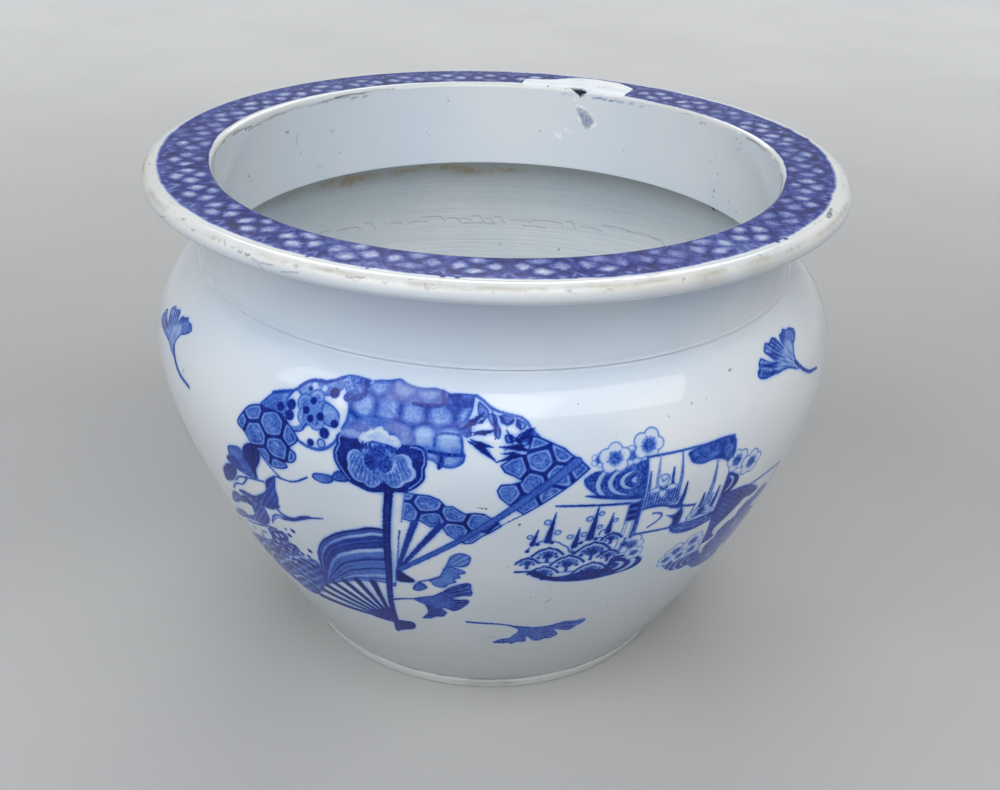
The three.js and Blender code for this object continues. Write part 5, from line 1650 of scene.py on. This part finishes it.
# Materials
class Graph:
    """A material's nodes, made by short calls."""

    def __init__(self, name):
        self.material = bpy.data.materials.new(name)
        self.material.use_nodes = True
        self.tree = self.material.node_tree
        self.shader = self.tree.nodes["Principled BSDF"]

    def node(self, kind, inputs=None, **settings):
        made = self.tree.nodes.new("ShaderNode" + kind)
        for key, value in settings.items():
            setattr(made, key, value)
        for key, value in (inputs or {}).items():
            self.put(made.inputs[key], value)
        return made

    def put(self, socket, value):
        if isinstance(value, bpy.types.NodeSocket):
            self.tree.links.new(value, socket)
        else:
            socket.default_value = value

    def math(self, operation, a, b=0.0, clamp=False):
        return self.node("Math", {0: a, 1: b}, operation=operation, use_clamp=clamp).outputs[0]

    def times(self, a, b):
        return self.math("MULTIPLY", a, b)

    def plus(self, a, b):
        return self.math("ADD", a, b)

    def place(self):
        return self.node("NewGeometry").outputs["Position"]

    def noise(self, scale, detail=3.0, rough=0.5, stretch=None):
        place = self.place()
        if stretch:
            place = self.node("Mapping", {"Vector": place, "Scale": stretch}).outputs[0]
        inputs = {"Vector": place, "Scale": scale, "Detail": detail, "Roughness": rough}
        return self.node("TexNoise", inputs).outputs[0]

    def spots(self, scale, size):
        """Soft round spots, one at most in each cell of 1 / scale metres."""
        cells = self.node("TexVoronoi", {"Vector": self.place(), "Scale": scale})
        near = self.span(cells.outputs["Distance"], size, 0.0)
        few = self.span(cells.outputs["Color"], 0.62, 0.8)
        return self.times(near, few)

    def span(self, value, low, high, to_low=0.0, to_high=1.0):
        """Maps low..high to to_low..to_high, clamped."""
        inputs = {"Value": value, "From Min": low, "From Max": high, "To Min": to_low, "To Max": to_high}
        return self.node("MapRange", inputs, interpolation_type="SMOOTHSTEP").outputs[0]

    def mix(self, factor, a, b):
        made = self.node("Mix", data_type="RGBA")
        self.put(made.inputs[0], factor)
        self.put(made.inputs[6], a)
        self.put(made.inputs[7], b)
        return made.outputs[2]

    def coat(self, share, *tone):
        """Lays a colour over the base by a share."""
        self.base = self.mix(share, self.base, colour(*tone))

    def value_of(self, name):
        return self.node("Attribute", attribute_name=name).outputs["Fac"]

    def height(self):
        return self.node("SeparateXYZ", {0: self.place()}).outputs[2]

    def bump(self, height, distance, strength=1.0):
        made = self.node("Bump", {"Height": height, "Distance": distance, "Strength": strength})
        self.put(self.shader.inputs["Normal"], made.outputs[0])

    def finish(self, **inputs):
        """The material, with the base and these values on the shader's sockets."""
        self.put(self.shader.inputs["Base Color"], self.base)
        for key, value in inputs.items():
            self.put(self.shader.inputs[key.replace("_", " ")], value)
        return self.material


def colour(red, green, blue):
    """A colour as seen on screen, 0 to 255, as the linear numbers that a shader takes."""
    seen = np.array([red, green, blue]) / 255
    linear = np.where(seen <= 0.04045, seen / 12.92, ((seen + 0.055) / 1.055) ** 2.4)
    return (*linear.tolist(), 1.0)


def cobalt(graph, ink, rim=False):
    """The body's print is a clear blue, and the rim's band a more violet one."""
    ramp = graph.node("ValToRGB", {"Fac": ink})
    violet = (216, 221, 233), (170, 182, 216), (112, 128, 188), (62, 78, 158), (26, 38, 124), (8, 14, 80)
    blue = (200, 214, 236), (142, 174, 228), (72, 116, 204), (24, 66, 172), (2, 30, 130), (0, 10, 84)
    elements = ramp.color_ramp.elements
    while len(elements) < len(blue):
        elements.new(0.5)
    positions = (0.0, 0.18, 0.4, 0.62, 0.82, 1.0)
    for element, position, tone in zip(elements, positions, violet if rim else blue):
        element.position = position
        element.color = colour(*tone)
    return ramp.outputs[0]


def glaze_material(
    name, pale=(226, 232, 238), cool=(206, 219, 234), warm=(232, 230, 220), warmth=0.3,
    gloss=(0.03, 0.07), reads=(),
):
    """Bluish white glaze. reads names the point values that lay print, marks and stains over it."""
    graph = Graph(name)
    high = graph.height()
    on_rim = "stain" in reads
    graph.base = colour(*pale)
    graph.coat(graph.span(graph.noise(7.0), 0.35, 0.65), *cool)
    graph.coat(graph.span(graph.noise(4.0, 2.0), 0.45, 0.75, 0.0, warmth), *warm)
    # Painted shade, greyer towards the foot; a paler ring on it, dirt on the lowest part and in the groove,
    # iron specks
    graph.coat(graph.span(high, 0.2, 0.01, 0.0, 0.7), 172, 178, 180)
    low_glaze = graph.span(high, (FOOT_HEIGHT + 1.3) * MM, (FOOT_HEIGHT - 0.7) * MM, 0.0, 0.75)
    graph.coat(low_glaze, 226, 229, 228)
    dirt = graph.span(graph.noise(26.0, 4.0, 0.6, (1.0, 1.0, 3.0)), 0.5, 0.72)
    foot = graph.span(high, 0.07, 0.004)
    graph.coat(graph.times(graph.times(dirt, foot), 0.35), 150, 146, 134)
    from_groove = graph.math("ABSOLUTE", graph.math("SUBTRACT", high, (FOOT_HEIGHT + 0.7) * MM))
    grime = graph.span(graph.noise(60.0, 4.0), 0.35, 0.6, 0.25, 0.9)
    graph.coat(graph.times(graph.span(from_groove, 0.0011, 0.0), grime), 84, 80, 70)
    graph.coat(graph.times(graph.spots(90.0, 0.055), 0.75), 96, 90, 80)
    shine = 0.5
    if on_rim:
        # Cooler below the flat top: the lip's own bluish glaze, and painted shade on the bead's lower side
        graph.coat(graph.span(high, (RIM_TOP - 3.6) * MM, (RIM_TOP - 6.6) * MM), 212, 221, 231)
        graph.coat(graph.value_of("stain"), 170, 160, 138)
    if "ink" in reads:
        ink = graph.value_of("ink")
        mottle = graph.span(graph.noise(900.0, 3.0, 0.6), 0.25, 0.75, -0.09, 0.09)
        wash = graph.span(graph.noise(70.0, 3.0), 0.3, 0.7, -0.07, 0.07)
        toned = graph.math("ADD", ink, graph.times(graph.plus(mottle, wash), ink), True)
        shade = cobalt(graph, toned, on_rim)
        if "tint" in reads:
            shade = graph.mix(graph.value_of("tint"), shade, colour(122, 118, 178))
        graph.base = graph.mix(graph.span(ink, 0.0, 0.16), graph.base, shade)
        shine = graph.span(ink, 0.05, 0.7, 0.5, 0.1 if on_rim else 0.2)
    if "pale" in reads:
        graph.coat(graph.value_of("pale"), 244, 248, 252)
    if "mark" in reads:
        # Dark marks: wear, specks and the chip, whose near black is painted shade
        worn = graph.value_of("mark")
        graph.coat(worn, 24, 36, 58)
        shine = graph.times(shine, graph.span(worn, 0.3, 0.9, 1.0, 0.1))
    uneven = graph.plus(graph.noise(35.0, 2.0), graph.times(graph.noise(260.0, 2.0), 0.12))
    graph.bump(uneven, 0.0005, 0.3)
    rough = graph.plus(graph.span(graph.noise(18.0, 4.0), 0.3, 0.7, *gloss), graph.times(foot, 0.12))
    return graph.finish(Roughness=rough, Specular_IOR_Level=shine)


def filler_material():
    graph = Graph("white_filler")
    graph.base = colour(240, 244, 248)
    graph.coat(graph.span(graph.noise(60.0), 0.35, 0.65), 226, 234, 244)
    graph.coat(graph.value_of("mark"), 60, 66, 80)
    graph.bump(graph.plus(graph.noise(140.0), graph.times(graph.noise(700.0), 0.3)), 0.0005, 0.5)
    return graph.finish(Roughness=graph.span(graph.noise(90.0), 0.3, 0.7, 0.3, 0.5))


def clay_material():
    """The unglazed inside: turning rings, a top in painted shade, a greyer floor, scratches, rust and
    cracks.
    """
    graph = Graph("unglazed_inside")
    high = graph.height()
    rings = graph.noise(1.0, 3.0, 0.55, (6.0, 6.0, 900.0))
    graph.base = colour(226, 232, 236)
    graph.coat(graph.span(graph.noise(11.0, 4.0), 0.3, 0.7), 212, 221, 228)
    graph.coat(graph.span(rings, 0.4, 0.62, 0.0, 0.3), 188, 198, 206)
    graph.coat(graph.span(graph.noise(170.0, 3.0), 0.62, 0.8, 0.0, 0.4), 236, 240, 243)
    # Painted shade under the glazed neck's overhang, darkest at the glaze's edge, with a soil-line stain
    graph.coat(graph.span(high, 0.238, 0.266, 0.0, 0.6), 168, 174, 164)
    graph.coat(graph.span(high, 0.13, 0.02, 0.0, 0.45), 128, 122, 108)
    graph.coat(graph.times(graph.value_of("pale"), 0.7), 232, 238, 244)
    graph.coat(graph.value_of("stain"), 182, 154, 116)
    # Cracks, dots and the painted shade of gaps under the glaze's edge
    graph.coat(graph.value_of("cracks_and_gap_shade"), 74, 76, 80)
    graph.bump(graph.plus(rings, graph.times(graph.noise(420.0, 3.0), 0.35)), 0.0007, 0.8)
    return graph.finish(Roughness=0.72)


def seen_rays(tree):
    """1 for what the camera, a reflection or a glass shows, and 0 for light that falls on things."""
    path = tree.nodes.new("ShaderNodeLightPath")
    seen = path.outputs["Is Camera Ray"]
    for name in ("Is Glossy Ray", "Is Transmission Ray"):
        either = tree.nodes.new("ShaderNodeMath")
        either.operation = "MAXIMUM"
        tree.links.new(seen, either.inputs[0])
        tree.links.new(path.outputs[name], either.inputs[1])
        seen = either.outputs[0]
    return seen


WORLD_LIGHT = 0.16
WORLD_SEEN = 0.6


def floor_and_lights():
    bpy.ops.mesh.primitive_plane_add(size=80, location=(0, 0, 0))
    floor = bpy.context.object
    floor.name = "studio_floor"
    graph = Graph("studio_floor")
    graph.base = colour(190, 191, 191)
    graph.coat(graph.span(graph.noise(3.0), 0.3, 0.7), 185, 186, 187)
    far = graph.node("VectorMath", {0: graph.place()}, operation="LENGTH").outputs["Value"]
    lift = graph.times(graph.span(far, 0.3, 2.8, 0.0, 0.95), seen_rays(graph.tree))
    look = graph.finish(Roughness=0.7, Emission_Color=graph.base, Emission_Strength=lift)
    floor.data.materials.append(look)
    # The world is faint as a light and pale where it is seen
    world = bpy.data.worlds.new("studio")
    bpy.context.scene.world = world
    world.use_nodes = True
    back = world.node_tree.nodes["Background"]
    back.inputs["Color"].default_value = (0.9, 0.95, 1.0, 1.0)
    strength = world.node_tree.nodes.new("ShaderNodeMapRange")
    strength.inputs["To Min"].default_value = WORLD_LIGHT
    strength.inputs["To Max"].default_value = WORLD_SEEN
    world.node_tree.links.new(seen_rays(world.node_tree), strength.inputs["Value"])
    world.node_tree.links.new(strength.outputs[0], back.inputs["Strength"])
    for name, place, size, power in (
        ("front", (-0.5, -1.4, 1.75), (2.4, 1.7), 19.0),
        ("low_front", (-0.6, -2.3, 1.1), (1.6, 0.8), 7.5),
        ("left", (-1.5, -0.9, 1.6), (1.2, 1.0), 7.5), ("back", (0.0, 1.5, 1.5), (1.4, 0.8), 13.0),
    ):
        add_lamp(name, place, (0.0, 0.0, 0.25), size, power)
    # The bright part of the sky that the shoulder mirrors as a wide band
    add_lamp("sky", (0.72, -0.86, 1.42), (0.1, -0.1, 0.26), (1.6, 0.95), 10.5, (1.5, 0.85, -0.25))
    bpy.data.lights["sky"].color = (1.0, 0.97, 0.93)


def add_lamp(name, place, aim, size, power, along=None):
    """A soft rectangle of light; along is the direction of its first side, else it lies level."""
    data = bpy.data.lights.new(name, "AREA")
    data.shape = "RECTANGLE"
    data.size, data.size_y = size
    data.energy = power
    lamp = bpy.data.objects.new(name, data)
    away = (Vector(place) - Vector(aim)).normalized()
    first = Vector(along) if along else Vector((0.0, 0.0, 1.0)).cross(away)
    second = away.cross(first).normalized()
    lamp.matrix_world = Matrix((second.cross(away), second, away)).transposed().to_4x4()
    lamp.location = place
    bpy.context.scene.collection.objects.link(lamp)


make_camera()
glaze = glaze_material("white_glaze")
bore_tones = (230, 235, 240), (218, 229, 240)
bore_glaze = glaze_material("bore_glaze", *bore_tones)
inked_glaze = glaze_material("printed_glaze", reads=("ink", "tint"))
marked_glaze = glaze_material("marked_glaze", *bore_tones, reads=("ink", "pale", "mark"))
creamy = ((226, 228, 228), (214, 221, 226), (220, 215, 202), 0.5)
band_glaze = glaze_material("rim_glaze", *creamy, (0.1, 0.2), ("stain", "ink", "mark"))
bead_glaze = glaze_material("worn_bead_glaze", *creamy, (0.24, 0.4), ("stain", "ink", "mark"))
clay = clay_material()
outer = lathe("outer_glaze", outer_outline(), glaze, "white_glaze", 2)
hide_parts("lower_wall", "shoulder_wall", "neck_collar")
lathe("neck_glaze", neck_outline(), bore_glaze, "white_glaze", 4)
inside = lathe("inside_clay", inside_outline(), clay, "bare_clay", 2)
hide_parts("base_slab")
foot = lathe("foot_and_recess", foot_outline(), clay, "bare_clay", 3)
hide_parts("foot_ring")
band, bead = add_rim(band_glaze, bead_glaze)
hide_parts("rim_flange", "rim_repair_fill")
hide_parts("rim_bead")
add_body_prints(inked_glaze)
add_inside_marks(clay)
add_neck_marks(marked_glaze)
add_body_marks(marked_glaze)
add_repair(filler_material())
floor_and_lights()

bpy.context.scene.view_settings.view_transform = "Standard"
